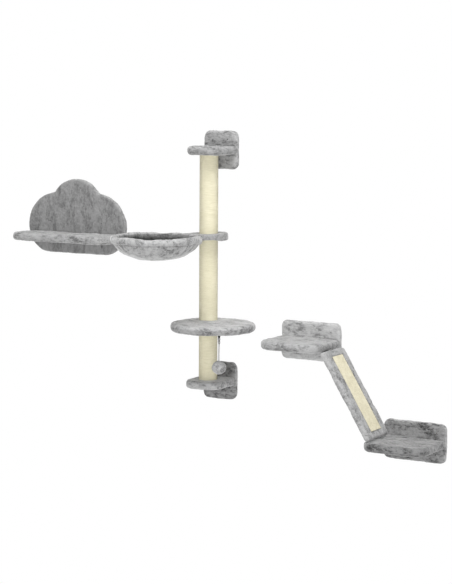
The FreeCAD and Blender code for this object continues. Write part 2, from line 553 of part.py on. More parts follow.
# Lounge: a three-lobed back with a flat bottom edge, and a seat as wide as the back is there.
LOUNGE_X = "Sizes.lounge_x"
SEAT_Z = "Sizes.seat_height"
BACK_FRONT = "(-%s - %s)" % (BOARD, PLUSH)
BACK_DEPTH = "(%s + %s)" % (BOARD, PLUSH)


def upper_meeting(first, first_reach, second, second_reach):
    """The point that is these two distances from two middles, on the outer side of their line."""
    apart = (second - first).Length
    toward = (second - first).normalize()
    along = (apart ** 2 + first_reach ** 2 - second_reach ** 2) / (2 * apart)
    aside = (first_reach ** 2 - along ** 2) ** 0.5
    return first + toward * along + Vector(-toward.y, toward.x, 0) * aside


def three_lobes(name, growth, front, depth):
    """The back's outline, grown by the size named growth: two side lobes under a crown, with
    rounded notches between them, and a flat bottom edge between two rounded corners."""
    more = size(growth) if growth else 0
    lobe = size("lobe_radius") + more
    crown = size("crown_radius") + more
    corner = size("back_bottom_corner") + more
    notch = size("back_notch_round") - more
    across = size("seat_width") / 2 - (size("lobe_radius") ** 2 - size("lobe_above_seat") ** 2) ** 0.5
    lobe_middle = Vector(across, size("seat_height") + size("lobe_above_seat"), 0)
    crown_middle = Vector(0, size("seat_height") + size("crown_above_seat"), 0)
    bottom = size("seat_height") - size("back_below_seat") - more

    corner_height = bottom + corner
    drop = lobe_middle.y - corner_height
    corner_middle = Vector(across + ((lobe - corner) ** 2 - drop ** 2) ** 0.5, corner_height, 0)
    outward = (corner_middle - lobe_middle).normalize()
    on_lobe = lobe_middle + outward * lobe
    on_bottom = Vector(corner_middle.x, bottom, 0)
    halfway_round = (outward + Vector(0, -1, 0)).normalize()
    on_corner = corner_middle + halfway_round * corner

    notch_middle = upper_meeting(crown_middle, crown + notch, lobe_middle, lobe + notch)
    to_lobe = (lobe_middle - notch_middle).normalize()
    to_crown = (crown_middle - notch_middle).normalize()
    lobe_end = notch_middle + to_lobe * notch
    notch_bottom = notch_middle + (to_lobe + to_crown).normalize() * notch
    crown_end = notch_middle + to_crown * notch
    lobe_side = lobe_middle + Vector(lobe, 0, 0)
    crown_top = crown_middle + Vector(0, crown, 0)

    def mirrored(point):
        return Vector(-point.x, point.y, 0)

    sketch = doc.addObject("Sketcher::SketchObject", name + "_outline")
    sketch.Placement = Placement(Vector(), Rotation(Vector(1, 0, 0), 90))
    place(sketch, LOUNGE_X, front, "0")
    sketch.addGeometry(Part.LineSegment(mirrored(on_bottom), on_bottom), False)
    sketch.addGeometry(Part.Arc(crown_end, crown_top, mirrored(crown_end)), False)
    for begin, middle, finish in ((on_bottom, on_corner, on_lobe), (on_lobe, lobe_side, lobe_end),
                                  (lobe_end, notch_bottom, crown_end)):
        sketch.addGeometry(Part.Arc(begin, middle, finish), False)
        sketch.addGeometry(Part.Arc(mirrored(finish), mirrored(middle), mirrored(begin)), False)
    panel = doc.addObject("Part::Extrusion", name)
    panel.Base = sketch
    panel.DirMode = "Custom"
    panel.Dir = ALONG_Y
    panel.Solid = True
    return bind(panel, LengthFwd=depth)


LOUNGE_HOLES_Z = "(%s + Sizes.lounge_hole_above_seat - Sizes.lounge_hole_rows / 2)" % SEAT_Z
lounge_holes = wall_holes("lounge_board", "Sizes.wall_hole_radius", LOUNGE_X, LOUNGE_HOLES_Z,
                          "Sizes.lounge_hole_across", "Sizes.lounge_hole_rows / 2")
lounge_plush_holes = wall_holes("lounge_cover", "Sizes.wall_hole_in_plush_radius", LOUNGE_X, LOUNGE_HOLES_Z,
                                "Sizes.lounge_hole_across", "Sizes.lounge_hole_rows / 2")
seat_screws = []
for side in (-1, 1):
    for spot in ("outer", "inner"):
        tag = "lounge_%s_%d" % (spot, side + 1)
        seat_screws.append((tag, "(%s + %d * Sizes.seat_screw_%s)" % (LOUNGE_X, side, spot)))
back_rooms = [joining_screw_room(tag + "_wall_room", x, SEAT_Z) for tag, x in seat_screws]
seat_rooms = [joining_screw_room(tag + "_board_room", x, SEAT_Z) for tag, x in seat_screws]
back_blank = three_lobes("lounge_back_blank", None, "-" + BOARD, BOARD)
node(cut("lounge_back_board", back_blank, *lounge_holes, *back_rooms), "lounge_back_board")
back_outer = three_lobes("lounge_cover_outer", "plush", BACK_FRONT, BACK_DEPTH)
back_soft = rounded("lounge_cover_soft", back_outer, size("plush_round"),
                    on_plane(ALONG_Y, -size("board_thickness") - size("plush")))
back_room = three_lobes("lounge_cover_room", "fit_gap", "(-%s - %s)" % (BOARD, GAP), "(2 * %s)" % BOARD)
seat_slot = block("lounge_cover_slot", "%s - Sizes.seat_width / 2 - %s" % (LOUNGE_X, GAP), "2 * " + BACK_FRONT,
                  "%s - %s - %s" % (SEAT_Z, UNDER, GAP), "Sizes.seat_width + 2 * %s" % GAP,
                  "2 * " + BACK_DEPTH, "%s + 2 * %s" % (BOARD, GAP))
node(cut("lounge_back_cover", back_soft, back_room, seat_slot, *lounge_plush_holes), "lounge_back_cover")
shelf_board("lounge_seat_board", "lounge_seat_board", LOUNGE_X, SEAT_Z, "Sizes.seat_width",
            "Sizes.seat_reach", "seat_corner", [], seat_rooms)
shelf_cover("lounge_seat_cover", "lounge_seat_cover", LOUNGE_X, SEAT_Z, "Sizes.seat_width",
            "Sizes.seat_reach", "seat_corner", [])
seat_screw_solids = [joining_screw(tag + "_screw", x, SEAT_Z) for tag, x in seat_screws]
node(group("lounge_joining_screws", *seat_screw_solids), "lounge_joining_screws")

# Shelves: the same bracket shape, wider; the upper one carries the ramp's hinge.
PIN_X = "(Sizes.upper_shelf_x + Sizes.shelf_wall_width / 2 + %s + Sizes.hinge_past_edge)" % PLUSH
PIN_Z = "(Sizes.upper_shelf_z - %s - %s - Sizes.hinge_knuckle_radius)" % (HALF_COVER, GAP)
HINGE_Y = "-Sizes.ramp_from_wall"
SCREW_SPOTS = []
for spot, across in ((0, -1), (0, 1), (1, -1), (1, 1)):
    SCREW_SPOTS.append(("(Sizes.hinge_screw_first + %d * Sizes.hinge_screw_pitch)" % spot,
                        "%d * Sizes.hinge_width / 4" % across))


def hinge_screw_rooms(name, extra):
    """Room for the screws that hold the hinge's shelf leaf, in the shelf above it."""
    rooms = []
    for number, (along, across) in enumerate(SCREW_SPOTS):
        rooms.append(rod("%s_%d" % (name, number), "Sizes.hinge_screw_radius + %s" % extra,
                         "Sizes.hinge_screw_length + %s" % GAP, "%s - %s" % (PIN_X, along),
                         "%s + %s" % (HINGE_Y, across), PIN_Z))
    return rooms


shelf_screws = []
for prefix in ("upper", "lower"):
    x = "Sizes.%s_shelf_x" % prefix
    z = "Sizes.%s_shelf_z" % prefix
    name = prefix + "_shelf"
    holes = wall_holes(name + "_wall_board", "Sizes.wall_hole_radius", x, z, "Sizes.shelf_hole_across",
                       "Sizes.shelf_hole_up")
    plush_holes = wall_holes(name + "_wall_cover", "Sizes.wall_hole_in_plush_radius", x, z,
                             "Sizes.shelf_hole_across", "Sizes.shelf_hole_up")
    spots = []
    for side in (-1, 0, 1):
        spots.append(("%s_%d" % (name, side + 1), "(%s + %d * Sizes.shelf_screw_across)" % (x, side)))
    wall_board(name + "_wall_board", name + "_wall_board", x, z, "Sizes.shelf_wall_width",
               "Sizes.shelf_wall_height", holes,
               [joining_screw_room(tag + "_wall_room", at, z) for tag, at in spots])
    wall_cover(name + "_wall_cover", name + "_wall_cover", x, z, "Sizes.shelf_wall_width",
               "Sizes.shelf_wall_height", "Sizes.shelf_wall_width", plush_holes)
    board_holes = hinge_screw_rooms("upper_board_room", "Sizes.pilot_gap") if prefix == "upper" else []
    cover_holes = hinge_screw_rooms("upper_cover_room", GAP) if prefix == "upper" else []
    board_rooms = [joining_screw_room(tag + "_board_room", at, z) for tag, at in spots]
    shelf_board(name + "_board", name + "_board", x, z, "Sizes.shelf_wall_width", "Sizes.shelf_reach",
                "shelf_corner", board_holes, board_rooms)
    shelf_cover(name + "_cover", name + "_cover", x, z, "Sizes.shelf_wall_width", "Sizes.shelf_reach",
                "shelf_corner", cover_holes)
    shelf_screws += [joining_screw(tag + "_screw", at, z) for tag, at in spots]
node(group("shelf_joining_screws", *shelf_screws), "shelf_joining_screws")


# Hinge and ramp are drawn about the pin: X along the ramp, Z square to it, then turned down.
def on_pin(obj, angle):
    obj.Placement = Placement(Vector(), Rotation(ALONG_Y, angle))
    return place(obj, PIN_X, HINGE_Y, PIN_Z)


LEAF_LOW = "(Sizes.hinge_knuckle_radius - Sizes.hinge_leaf_thickness)"
KNUCKLE = "(Sizes.hinge_width / 3)"
CLEAR = "(Sizes.hinge_knuckle_radius + Sizes.hinge_knuckle_gap)"


def hinge_leaf(name, way, knuckles):
    """A strap leaf; way is -1 under the shelf and 1 under the ramp."""
    start = "-Sizes.hinge_leaf_length" if way < 0 else CLEAR
    strap = block(name + "_strap", start, "-Sizes.hinge_width / 2", LEAF_LOW,
                  "Sizes.hinge_leaf_length - %s" % CLEAR, "Sizes.hinge_width", "Sizes.hinge_leaf_thickness")
    pieces = [strap]
    for number in knuckles:
        low = "(-Sizes.hinge_width / 2 + %d * %s + Sizes.hinge_knuckle_gap / 2)" % (number, KNUCKLE)
        width = "%s - Sizes.hinge_knuckle_gap" % KNUCKLE
        tab_start = "-%s" % CLEAR if way < 0 else "0"
        pieces.append(block("%s_tab_%d" % (name, number), tab_start, low, LEAF_LOW, CLEAR, width,
                            "Sizes.hinge_leaf_thickness"))
        pieces.append(rod("%s_knuckle_%d" % (name, number), "Sizes.hinge_knuckle_radius", width,
                          "0", low, "0", "Y"))
    bores = [rod(name + "_bore", "Sizes.hinge_pin_radius + Sizes.hinge_pin_gap", "2 * Sizes.hinge_width",
                 "0", "-Sizes.hinge_width", "0", "Y")]
    for number, (along, across) in enumerate(SCREW_SPOTS):
        bores.append(rod("%s_screw_hole_%d" % (name, number), "Sizes.hinge_screw_radius + %s" % GAP,
                         "4 * Sizes.hinge_knuckle_radius", "%d * %s" % (way, along), across,
                         "-2 * Sizes.hinge_knuckle_radius"))
    return cut(name, fuse(name + "_blank", *pieces), *bores)


def hinge_screws(name, way):
    screws = []
    for number, (along, across) in enumerate(SCREW_SPOTS):
        tag = "%s_%d" % (name, number)
        x = "%d * %s" % (way, along)
        top = "(%s - Sizes.hinge_screw_head_height)" % LEAF_LOW
        shank = rod(tag + "_shank", "Sizes.hinge_screw_radius", "Sizes.hinge_screw_length - %s" % top,
                    x, across, top)
        head = rod(tag + "_head", "Sizes.hinge_screw_head_radius", "Sizes.hinge_screw_head_height",
                   x, across, top)
        screws.append(fuse(tag, shank, head))
    return group(name, *screws)


# The ramp's rounded foot comes to rest on the lower shelf's plush.
FOOT_ROUNDING = "(Sizes.plush_round * (sin(Sizes.ramp_angle) + cos(Sizes.ramp_angle) - 1))"
LANDING = "(Sizes.lower_shelf_z + %s + Sizes.ramp_rest_gap)" % HALF_COVER
RAMP_FOOT = "((%s + %s * cos(Sizes.ramp_angle) + %s - %s) / sin(Sizes.ramp_angle))" % (
    PIN_Z, CLEAR, FOOT_ROUNDING, LANDING)
# Held level, the ramp would leave its end gap to the shelf, which the pin stands out past.
RAMP_START = "(Sizes.ramp_end_gap - Sizes.hinge_past_edge)"
RAMP_LENGTH = "(%s - %s)" % (RAMP_FOOT, RAMP_START)
RAMP_HEIGHT = "(Sizes.ramp_board_thickness + 2 * Sizes.ramp_plush)"
SOFT_HALF = "(Sizes.ramp_width / 2 + Sizes.ramp_plush)"
ramp_angle = size("ramp_angle")
node(on_pin(hinge_leaf("hinge_shelf_leaf", -1, (0, 2)), 0), "hinge_shelf_leaf")
node(on_pin(hinge_leaf("hinge_ramp_leaf", 1, (1,)), ramp_angle), "hinge_ramp_leaf")
pin_rod = rod("hinge_pin_rod", "Sizes.hinge_pin_radius", "Sizes.hinge_width", "0",
              "-Sizes.hinge_width / 2", "0", "Y")
pin_dimple = rod("hinge_pin_dimple", "Sizes.hinge_pin_radius / 4", "Sizes.hinge_pin_radius", "0",
                 "-Sizes.hinge_width / 2", "0", "Y")
node(on_pin(cut("hinge_pin", pin_rod, pin_dimple), 0), "hinge_pin")
node(on_pin(hinge_screws("hinge_shelf_screws", -1), 0), "hinge_shelf_screws")
node(on_pin(hinge_screws("hinge_ramp_screws", 1), ramp_angle), "hinge_ramp_screws")

ramp_blank = block("ramp_blank", "%s + Sizes.ramp_plush" % RAMP_START, "-Sizes.ramp_width / 2",
                   "%s + Sizes.ramp_plush" % CLEAR, "%s - 2 * Sizes.ramp_plush" % RAMP_LENGTH,
                   "Sizes.ramp_width", "Sizes.ramp_board_thickness")


def ramp_screw_rooms(name, extra):
    rooms = []
    for number, (along, across) in enumerate(SCREW_SPOTS):
        rooms.append(rod("%s_%d" % (name, number), "Sizes.hinge_screw_radius + %s" % extra,
                         "Sizes.hinge_screw_length + %s" % GAP, along, across, "0"))
    return rooms


ramp_board_rooms = ramp_screw_rooms("ramp_board_room", "Sizes.pilot_gap")
node(on_pin(cut("ramp_board", ramp_blank, *ramp_board_rooms), ramp_angle), "ramp_board")
ramp_outer = block("ramp_outer", RAMP_START, "-" + SOFT_HALF, CLEAR, RAMP_LENGTH,
                   "2 * " + SOFT_HALF, RAMP_HEIGHT)
ramp_soft = rounded("ramp_soft", ramp_outer, size("plush_round"), lambda edge: True)
ramp_room = block("ramp_room", "%s + Sizes.ramp_plush - %s" % (RAMP_START, GAP),
                  "-Sizes.ramp_width / 2 - %s" % GAP, "%s + Sizes.ramp_plush - %s" % (CLEAR, GAP),
                  "%s - 2 * Sizes.ramp_plush + 2 * %s" % (RAMP_LENGTH, GAP),
                  "Sizes.ramp_width + 2 * %s" % GAP, "Sizes.ramp_board_thickness + 2 * %s" % GAP)
PAD_LOW = "(%s + %s - Sizes.ramp_pad_inset)" % (CLEAR, RAMP_HEIGHT)
PAD_START = "(%s + Sizes.ramp_pad_margin)" % RAMP_START
PAD_LENGTH = "(%s - 2 * Sizes.ramp_pad_margin)" % RAMP_LENGTH
pad_room = block("ramp_pad_room", "%s - %s" % (PAD_START, GAP), "-Sizes.ramp_pad_width / 2 - %s" % GAP,
                 "%s - %s" % (PAD_LOW, GAP), "%s + 2 * %s" % (PAD_LENGTH, GAP),
                 "Sizes.ramp_pad_width + 2 * %s" % GAP, "2 * Sizes.ramp_pad_thickness")
ramp_cover_rooms = ramp_screw_rooms("ramp_cover_room", GAP)
node(on_pin(cut("ramp_cover", ramp_soft, ramp_room, pad_room, *ramp_cover_rooms), ramp_angle), "ramp_cover")
pad_blank = block("ramp_pad_blank", PAD_START, "-Sizes.ramp_pad_width / 2", PAD_LOW, PAD_LENGTH,
                  "Sizes.ramp_pad_width", "Sizes.ramp_pad_thickness")
node(on_pin(rounded("ramp_sisal_pad", pad_blank, size("ramp_pad_corner"), runs_along(ALONG_Z)), ramp_angle),
     "ramp_sisal_pad")

doc.recompute()
for obj in doc.Objects:
    if "Invalid" in obj.State or "Error" in obj.State:
        raise RuntimeError("%s failed: %s" % (obj.Name, obj.State))
for obj in nodes:
    if obj.Shape.isNull() or not obj.Shape.isValid() or not obj.Shape.Solids:
        raise RuntimeError("%s has no valid solid" % obj.Label)

os.makedirs("parts", exist_ok=True)
for obj in nodes:
    obj.Shape.exportStep("parts/%s.step" % obj.Label)
print("%d nodes written" % len(nodes))
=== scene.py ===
# %% [markdown]
# A wall-mounted climbing set: a sisal post on two plush brackets with a platform, a hammock
# and a hanging toy, a lobed lounge beside it, and two shelves joined by a hinged ramp. The
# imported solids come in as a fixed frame. They already have the real places and sizes, so
# every plush, rope and cloth piece below is made in that same frame, in metres.

# %% Load the frame
import math

import bmesh
import bpy
from mathutils import Matrix, Vector


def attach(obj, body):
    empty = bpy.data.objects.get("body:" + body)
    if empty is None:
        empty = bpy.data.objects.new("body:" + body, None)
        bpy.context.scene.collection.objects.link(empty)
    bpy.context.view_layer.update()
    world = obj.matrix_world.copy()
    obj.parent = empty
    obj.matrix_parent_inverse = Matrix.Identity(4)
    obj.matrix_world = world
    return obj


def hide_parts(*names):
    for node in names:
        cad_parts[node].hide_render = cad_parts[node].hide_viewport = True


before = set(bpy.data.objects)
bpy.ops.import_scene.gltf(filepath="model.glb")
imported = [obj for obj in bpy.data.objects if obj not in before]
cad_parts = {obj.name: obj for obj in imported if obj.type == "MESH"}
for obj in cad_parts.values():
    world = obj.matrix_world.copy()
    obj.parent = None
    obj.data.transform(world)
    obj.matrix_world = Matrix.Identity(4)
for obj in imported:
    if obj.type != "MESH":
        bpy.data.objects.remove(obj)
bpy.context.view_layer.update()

# %% [markdown]
# The photograph was taken from the right, a little above the middle of the set, with a long
# lens. Straight edges of the posts and plates gave the angle and the distance, so the camera
# is written as three turns and a place. A long lens keeps the far lounge almost as large as
# the near ramp.

# %% Camera
YAW, PITCH, ROLL = math.radians(30.35), math.radians(6.64), math.radians(0.34)
CAMERA_PLACE = (4.38047, -7.44368, 1.43412)
FOCAL_PIXELS = 1795.15
PHOTO_HEIGHT = 584
SENSOR_WIDTH = 36

ahead = Vector((-math.sin(YAW) * math.cos(PITCH), math.cos(YAW) * math.cos(PITCH), -math.sin(PITCH)))
level_right = Vector((math.cos(YAW), math.sin(YAW), 0))
level_up = level_right.cross(ahead)
right = level_right * math.cos(ROLL) + level_up * math.sin(ROLL)
up = level_up * math.cos(ROLL) - level_right * math.sin(ROLL)

bpy.ops.object.camera_add()
camera = bpy.context.object
camera.name = "photo_camera"
camera.matrix_world = Matrix((right, up, -ahead)).transposed().to_4x4()
camera.location = CAMERA_PLACE
camera.data.sensor_width = SENSOR_WIDTH
camera.data.lens = FOCAL_PIXELS * SENSOR_WIDTH / PHOTO_HEIGHT
bpy.context.scene.camera = camera
print("lens", round(camera.data.lens, 1), "mm")

# %% [markdown]
# Every operator works on whatever is selected, and the frame arrives selected. These small
# helpers clear the selection, pick one piece, and select its edges, faces or points by where
# they lie. They replace the clicks of a hand at the mouse.

# %% Selecting
def clear_selection():
    if bpy.context.object and bpy.context.object.mode != "OBJECT":
        bpy.ops.object.mode_set(mode="OBJECT")
    bpy.ops.object.select_all(action="DESELECT")


def pick(piece):
    clear_selection()
    piece.select_set(True)
    bpy.context.view_layer.objects.active = piece


def choose(piece, kind, test):
    """Leaves the piece in edit mode with the points, edges or faces that pass the test selected."""
    pick(piece)
    bpy.ops.object.mode_set(mode="EDIT")
    bpy.ops.mesh.select_mode(type=kind)
    bpy.ops.mesh.select_all(action="DESELECT")
    shape = bmesh.from_edit_mesh(piece.data)
    if kind == "VERT":
        for point in shape.verts:
            point.select = test(point.co)
    elif kind == "EDGE":
        for edge in shape.edges:
            edge.select = test(edge.verts[0].co, edge.verts[1].co)
    else:
        shape.normal_update()
        for face in shape.faces:
            face.select = test(face.calc_center_median(), face.normal)
    shape.select_flush_mode()
    bmesh.update_edit_mesh(piece.data)


def apply_modifier(piece, kind, **settings):
    pick(piece)
    modifier = piece.modifiers.new(kind.lower(), kind)
    for name, value in settings.items():
        setattr(modifier, name, value)
    bpy.ops.object.modifier_apply(modifier=modifier.name)


# %% [markdown]
# The boards start as blocks and drums at their real size and place. The place is applied at
# once, so that the object itself stays at the origin and a pattern never slides on it.

# %% Blocks, drums and cuts
CUT_TOLERANCE = 1e-6


def finish_start(name):
    """Names a new primitive and puts its place into its mesh."""
    piece = bpy.context.object
    piece.name = name
    piece.data.name = name
    bpy.ops.object.transform_apply(location=True, rotation=True, scale=True)
    return piece


def move_to(piece, place, turn):
    piece.location = place
    piece.rotation_euler = turn
    pick(piece)
    bpy.ops.object.transform_apply(location=True, rotation=True, scale=True)


def block(name, low, high):
    clear_selection()
    middle = [(a + b) / 2 for a, b in zip(low, high)]
    bpy.ops.mesh.primitive_cube_add(size=1, location=middle)
    bpy.context.object.scale = [b - a for a, b in zip(low, high)]
    return finish_start(name)


def drum(name, middle, radius, height, along="Z", sides=64):
    clear_selection()
    turn = (math.pi / 2, 0, 0) if along == "Y" else (0, 0, 0)
    bpy.ops.mesh.primitive_cylinder_add(vertices=sides, radius=radius, depth=height,
                                        location=middle, rotation=turn)
    return finish_start(name)


def combine(piece, tool, operation="DIFFERENCE"):
    """Joins or cuts. A cut piece is made of triangles first, so that no sliver is left at its edge."""
    if operation == "DIFFERENCE":
        apply_modifier(piece, "TRIANGULATE")
    apply_modifier(piece, "BOOLEAN", object=tool, operation=operation, solver="EXACT")
    bpy.data.objects.remove(tool)


def trim(piece, back):
    """Cuts the piece flat, parallel to the wall, and keeps what lies in front of the cut."""
    choose(piece, "FACE", lambda middle, facing: True)
    bpy.ops.mesh.bisect(plane_co=(0, back, 0), plane_no=(0, 1, 0), clear_outer=True, use_fill=True,
                        threshold=CUT_TOLERANCE)
    bpy.ops.object.mode_set(mode="OBJECT")


# %% [markdown]
# Plush over foam has no sharp edge anywhere. After a board's cover is bevelled, a voxel
# remesh turns it into even small faces, smoothing lets the edges settle, and two cloud
# textures push it in and out by a millimetre or two, as the pile and the foam do. A cloth
# simulation would give the same roundness on these tight covers for far more time.

# %% Plush padding
SETTLE_ROUNDS = 4
PILE_DEPTH = 0.0026


def cloud(name, size, depth):
    texture = bpy.data.textures.new(name, "CLOUDS")
    texture.noise_scale = size
    texture.noise_depth = depth
    return texture


def ruffle(piece, texture, strength, **settings):
    apply_modifier(piece, "DISPLACE", texture=texture, texture_coords="LOCAL", strength=strength, **settings)


foam_swell = cloud("foam swell", size=0.055, depth=1)
pile_tufts = cloud("pile tufts", size=0.011, depth=2)


def plump(piece, voxel=0.005, swell=0.005):
    apply_modifier(piece, "REMESH", mode="VOXEL", voxel_size=voxel)
    apply_modifier(piece, "SMOOTH", factor=0.5, iterations=SETTLE_ROUNDS)
    ruffle(piece, foam_swell, swell)
    apply_modifier(piece, "SUBSURF", levels=1, render_levels=1)
    ruffle(piece, pile_tufts, PILE_DEPTH)


def soften_rim(piece, test, width, segments=4):
    choose(piece, "EDGE", test)
    bpy.ops.mesh.bevel(offset=width, segments=segments, affect="EDGES", clamp_overlap=True)
    bpy.ops.object.mode_set(mode="OBJECT")


print("clouds for padding:", foam_swell.name, "and", pile_tufts.name)

# %% [markdown]
# A finish is a small network of nodes. Noises are weighed against each other, a ramp turns
# the sum into a colour, and the same noises drive the relief and the roughness. All of it
# reads Object coordinates, which need no unwrapping and keep the grain at its real size.
# Each helper adds a node or two; a plain number is set on its socket and not linked.

# %% Building a finish
def new_finish(name):
    finish = bpy.data.materials.new(name)
    finish.use_nodes = True
    tree = finish.node_tree
    return finish, tree, tree.nodes["Principled BSDF"]


def object_place(tree, stretch=(1, 1, 1), turn=(0, 0, 0), shift=(0, 0, 0)):
    place = tree.nodes.new("ShaderNodeTexCoord")
    mapping = tree.nodes.new("ShaderNodeMapping")
    mapping.inputs["Scale"].default_value = stretch
    mapping.inputs["Rotation"].default_value = turn
    mapping.inputs["Location"].default_value = shift
    tree.links.new(place.outputs["Object"], mapping.inputs["Vector"])
    return mapping.outputs["Vector"]


def noise(tree, place, scale, detail=2.0, distortion=0.0):
    texture = tree.nodes.new("ShaderNodeTexNoise")
    texture.inputs["Scale"].default_value = scale
    texture.inputs["Detail"].default_value = detail
    texture.inputs["Distortion"].default_value = distortion
    tree.links.new(place, texture.inputs["Vector"])
    return texture.outputs["Fac"]


def calculate(tree, operation, first, second=0.0):
    node = tree.nodes.new("ShaderNodeMath")
    node.operation = operation
    for socket, value in zip(node.inputs, (first, second)):
        if isinstance(value, (int, float)):
            socket.default_value = value
        else:
            tree.links.new(value, socket)
    return node.outputs["Value"]


def weigh(tree, *pairs, base=0.0):
    """Adds several noises to a base, each with its own weight."""
    total = base
    for value, weight in pairs:
        total = calculate(tree, "ADD", total, calculate(tree, "MULTIPLY", value, weight))
    return total


def ramp_of(tree, value, *stops):
    ramp = tree.nodes.new("ShaderNodeValToRGB")
    while len(ramp.color_ramp.elements) < len(stops):
        ramp.color_ramp.elements.new(0.5)
    for element, (position, colour) in zip(ramp.color_ramp.elements, stops):
        element.position = position
        element.color = (*colour, 1)
    tree.links.new(value, ramp.inputs["Fac"])
    return ramp.outputs["Color"]


def bump_of(tree, height, strength, distance):
    bump = tree.nodes.new("ShaderNodeBump")
    bump.inputs["Strength"].default_value = strength
    bump.inputs["Distance"].default_value = distance
    tree.links.new(height, bump.inputs["Height"])
    return bump.outputs["Normal"]


def drive(tree, shader, colour, normal, roughness, specular):
    tree.links.new(colour, shader.inputs["Base Color"])
    tree.links.new(normal, shader.inputs["Normal"])
    tree.links.new(roughness, shader.inputs["Roughness"])
    shader.inputs["Specular IOR Level"].default_value = specular


# %% [markdown]
# Some light and shade is painted into the plush through marks. Over a board's edge the pile
# opens and shows its pale tips, and the mark there adds a painted highlight: only the sides
# and the upper edge are paler, where light from above falls. The rim of the platform gets
# painted shade, and so do the inside of the hammock and the crease of its seam, while the
# whole hem is painted a little paler. Points that lie there carry a mark, an attribute of the
# mesh, which the finish reads. A painted picture would do the same, but a mark is worked out
# from the shape itself.

# %% Marks for the finish
def fade(value, start, full):
    """0 up to the start, 1 from the full value on, and an even rise between them."""
    return min(1.0, max(0.0, (value - start) / (full - start)))


def mark_points(piece, name, amount):
    """Keeps a share from 0 to 1 on each point, for the finish to read."""
    marks = piece.data.attributes.new(name, "FLOAT", "POINT")
    for point in piece.data.vertices:
        marks.data[point.index].value = amount(point)


def marked(tree, name, shade):
    """The change of shade at marked points, and 0 elsewhere."""
    mark = tree.nodes.new("ShaderNodeAttribute")
    mark.attribute_name = name
    return calculate(tree, "MULTIPLY", mark.outputs["Fac"], shade - 1.0)


# %% [markdown]
# Plush is a knitted backing with cut pile about 5 mm long. Stroked one way it looks pale, the
# other way dark, so the grey comes in soft patches a few centimetres wide with fine flecks on
# top. Three sizes of noise give the patches, the tufts and the flecks, and sheen on the
# shader gives the bright fuzz at the outline. A picture of cloth would have to be wrapped
# round each piece, so the pile is made of noise, a little stretched along the way it lies.

# %% Plush finish
PILE_LEVELS = (0.14, 0.25, 0.345, 0.43)
PILE_STOPS = (0.385, 0.445, 0.495, 0.58)
MEAN_PILE = 0.31
ALONG_X, ALONG_Z = (0.55, 1.0, 1.15), (1.0, 1.0, 0.5)


def plush_finish(name, shade, nap, contrast=1.0, painted_shade_level=1.0, painted_rim_level=1.0):
    finish, tree, shader = new_finish(name)
    place = object_place(tree, stretch=nap)
    patches = noise(tree, place, scale=21, distortion=0.8)
    tufts = noise(tree, place, scale=80, distortion=0.6)
    flecks = noise(tree, place, scale=220, detail=1.0)
    lie = weigh(tree, (patches, 0.42), (tufts, 0.36), (flecks, 0.22))
    levels = [[shade * (MEAN_PILE + contrast * (level - MEAN_PILE))] * 3 for level in PILE_LEVELS]
    colour = ramp_of(tree, lie, *zip(PILE_STOPS, levels))
    # The two marks scale the colour: painted shade inside the hammock, and painted light or shade on the
    # rims.
    change = calculate(tree, "ADD", marked(tree, "painted_shade", painted_shade_level),
                       marked(tree, "rim", painted_rim_level))
    shaded = tree.nodes.new("ShaderNodeVectorMath")
    shaded.operation = "SCALE"
    tree.links.new(colour, shaded.inputs[0])
    tree.links.new(calculate(tree, "ADD", change, 1.0), shaded.inputs["Scale"])
    relief = weigh(tree, (tufts, 0.6), (flecks, 0.4))
    normal = bump_of(tree, relief, strength=0.55, distance=0.004)
    roughness = weigh(tree, (tufts, 0.15), base=0.85)
    drive(tree, shader, shaded.outputs["Vector"], normal, roughness, specular=0.12)
    shader.inputs["Sheen Weight"].default_value = 0.55
    shader.inputs["Sheen Roughness"].default_value = 0.40
    return finish


# The same plush comes in lighter and darker copies, one for each kind of piece. Partly that is the lie of
# the pile, and partly it is painted light and shade: each copy's tone follows how brightly its pieces stand
# in the light, and the foot bracket takes the paler platform copy to make up for the shadow of the platform
# above it.
pale_plush = plush_finish("pale grey plush", shade=0.76, nap=ALONG_X, painted_rim_level=1.15)
bracket_plush = plush_finish("bracket grey plush", shade=0.70, nap=ALONG_X)
bright_plush = plush_finish("bright grey plush", shade=1.02, nap=ALONG_X, contrast=0.8)
deep_plush = plush_finish("deep grey plush", shade=0.52, nap=ALONG_X, contrast=1.35, painted_rim_level=1.5)
platform_pile = plush_finish("platform grey plush", shade=0.94, nap=ALONG_X, painted_rim_level=0.72)
shade_painted_plush = plush_finish("shade-painted grey plush", shade=0.40, nap=ALONG_X, contrast=1.35)
combed_plush = plush_finish("combed grey plush", shade=0.63, nap=ALONG_Z, contrast=0.65, painted_rim_level=1.25)
bag_plush = plush_finish("hammock plush", shade=0.80, nap=(1.0, 1.0, 0.8), painted_shade_level=0.52, painted_rim_level=1.10)
ball_plush = plush_finish("pompon plush", shade=0.88, nap=(1.8, 1.8, 1.8))
print("plush finishes from", shade_painted_plush.name, "to", bright_plush.name)

# %% [markdown]
# Each finished piece takes its finish, rides on the body that carries it, and hides the plain
# solid that it stands for. The solid stays in the simulation for contact.

# %% Handing a piece over
SMOOTH_BELOW = math.radians(50)


def hand_over(piece, body, finish, slot, *solids):
    clear_selection()
    piece.data.materials.clear()
    piece.data.materials.append(finish)
    if piece.type == "MESH":
        pick(piece)
        bpy.ops.object.shade_smooth_by_angle(angle=SMOOTH_BELOW)
        print(piece.name, len(piece.data.polygons), "faces")
    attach(piece, body)
    if solids:
        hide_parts(*solids)


def hand_over_cover(cover, finish, solid, body="wall_units"):
    hand_over(cover, body, finish, "plush", solid)


# %% [markdown]
# The toy hangs on a thin grey cord under the platform. The cord is one smooth spline from its
# loop down into the ball; the ball's weight keeps it nearly straight. A curve with a round
# bevel is enough for it, because a cord is equally thick all along.

# %% Toy cord
TOY_X, TOY_Y = 0.157, -0.292
CORD_RADIUS = 0.0018
CORD_ROUTE = ((0.1570, -0.2920, 0.2282), (0.1570, -0.2920, 0.2070),
              (0.1560, -0.2915, 0.1750), (0.1570, -0.2920, 0.1300))

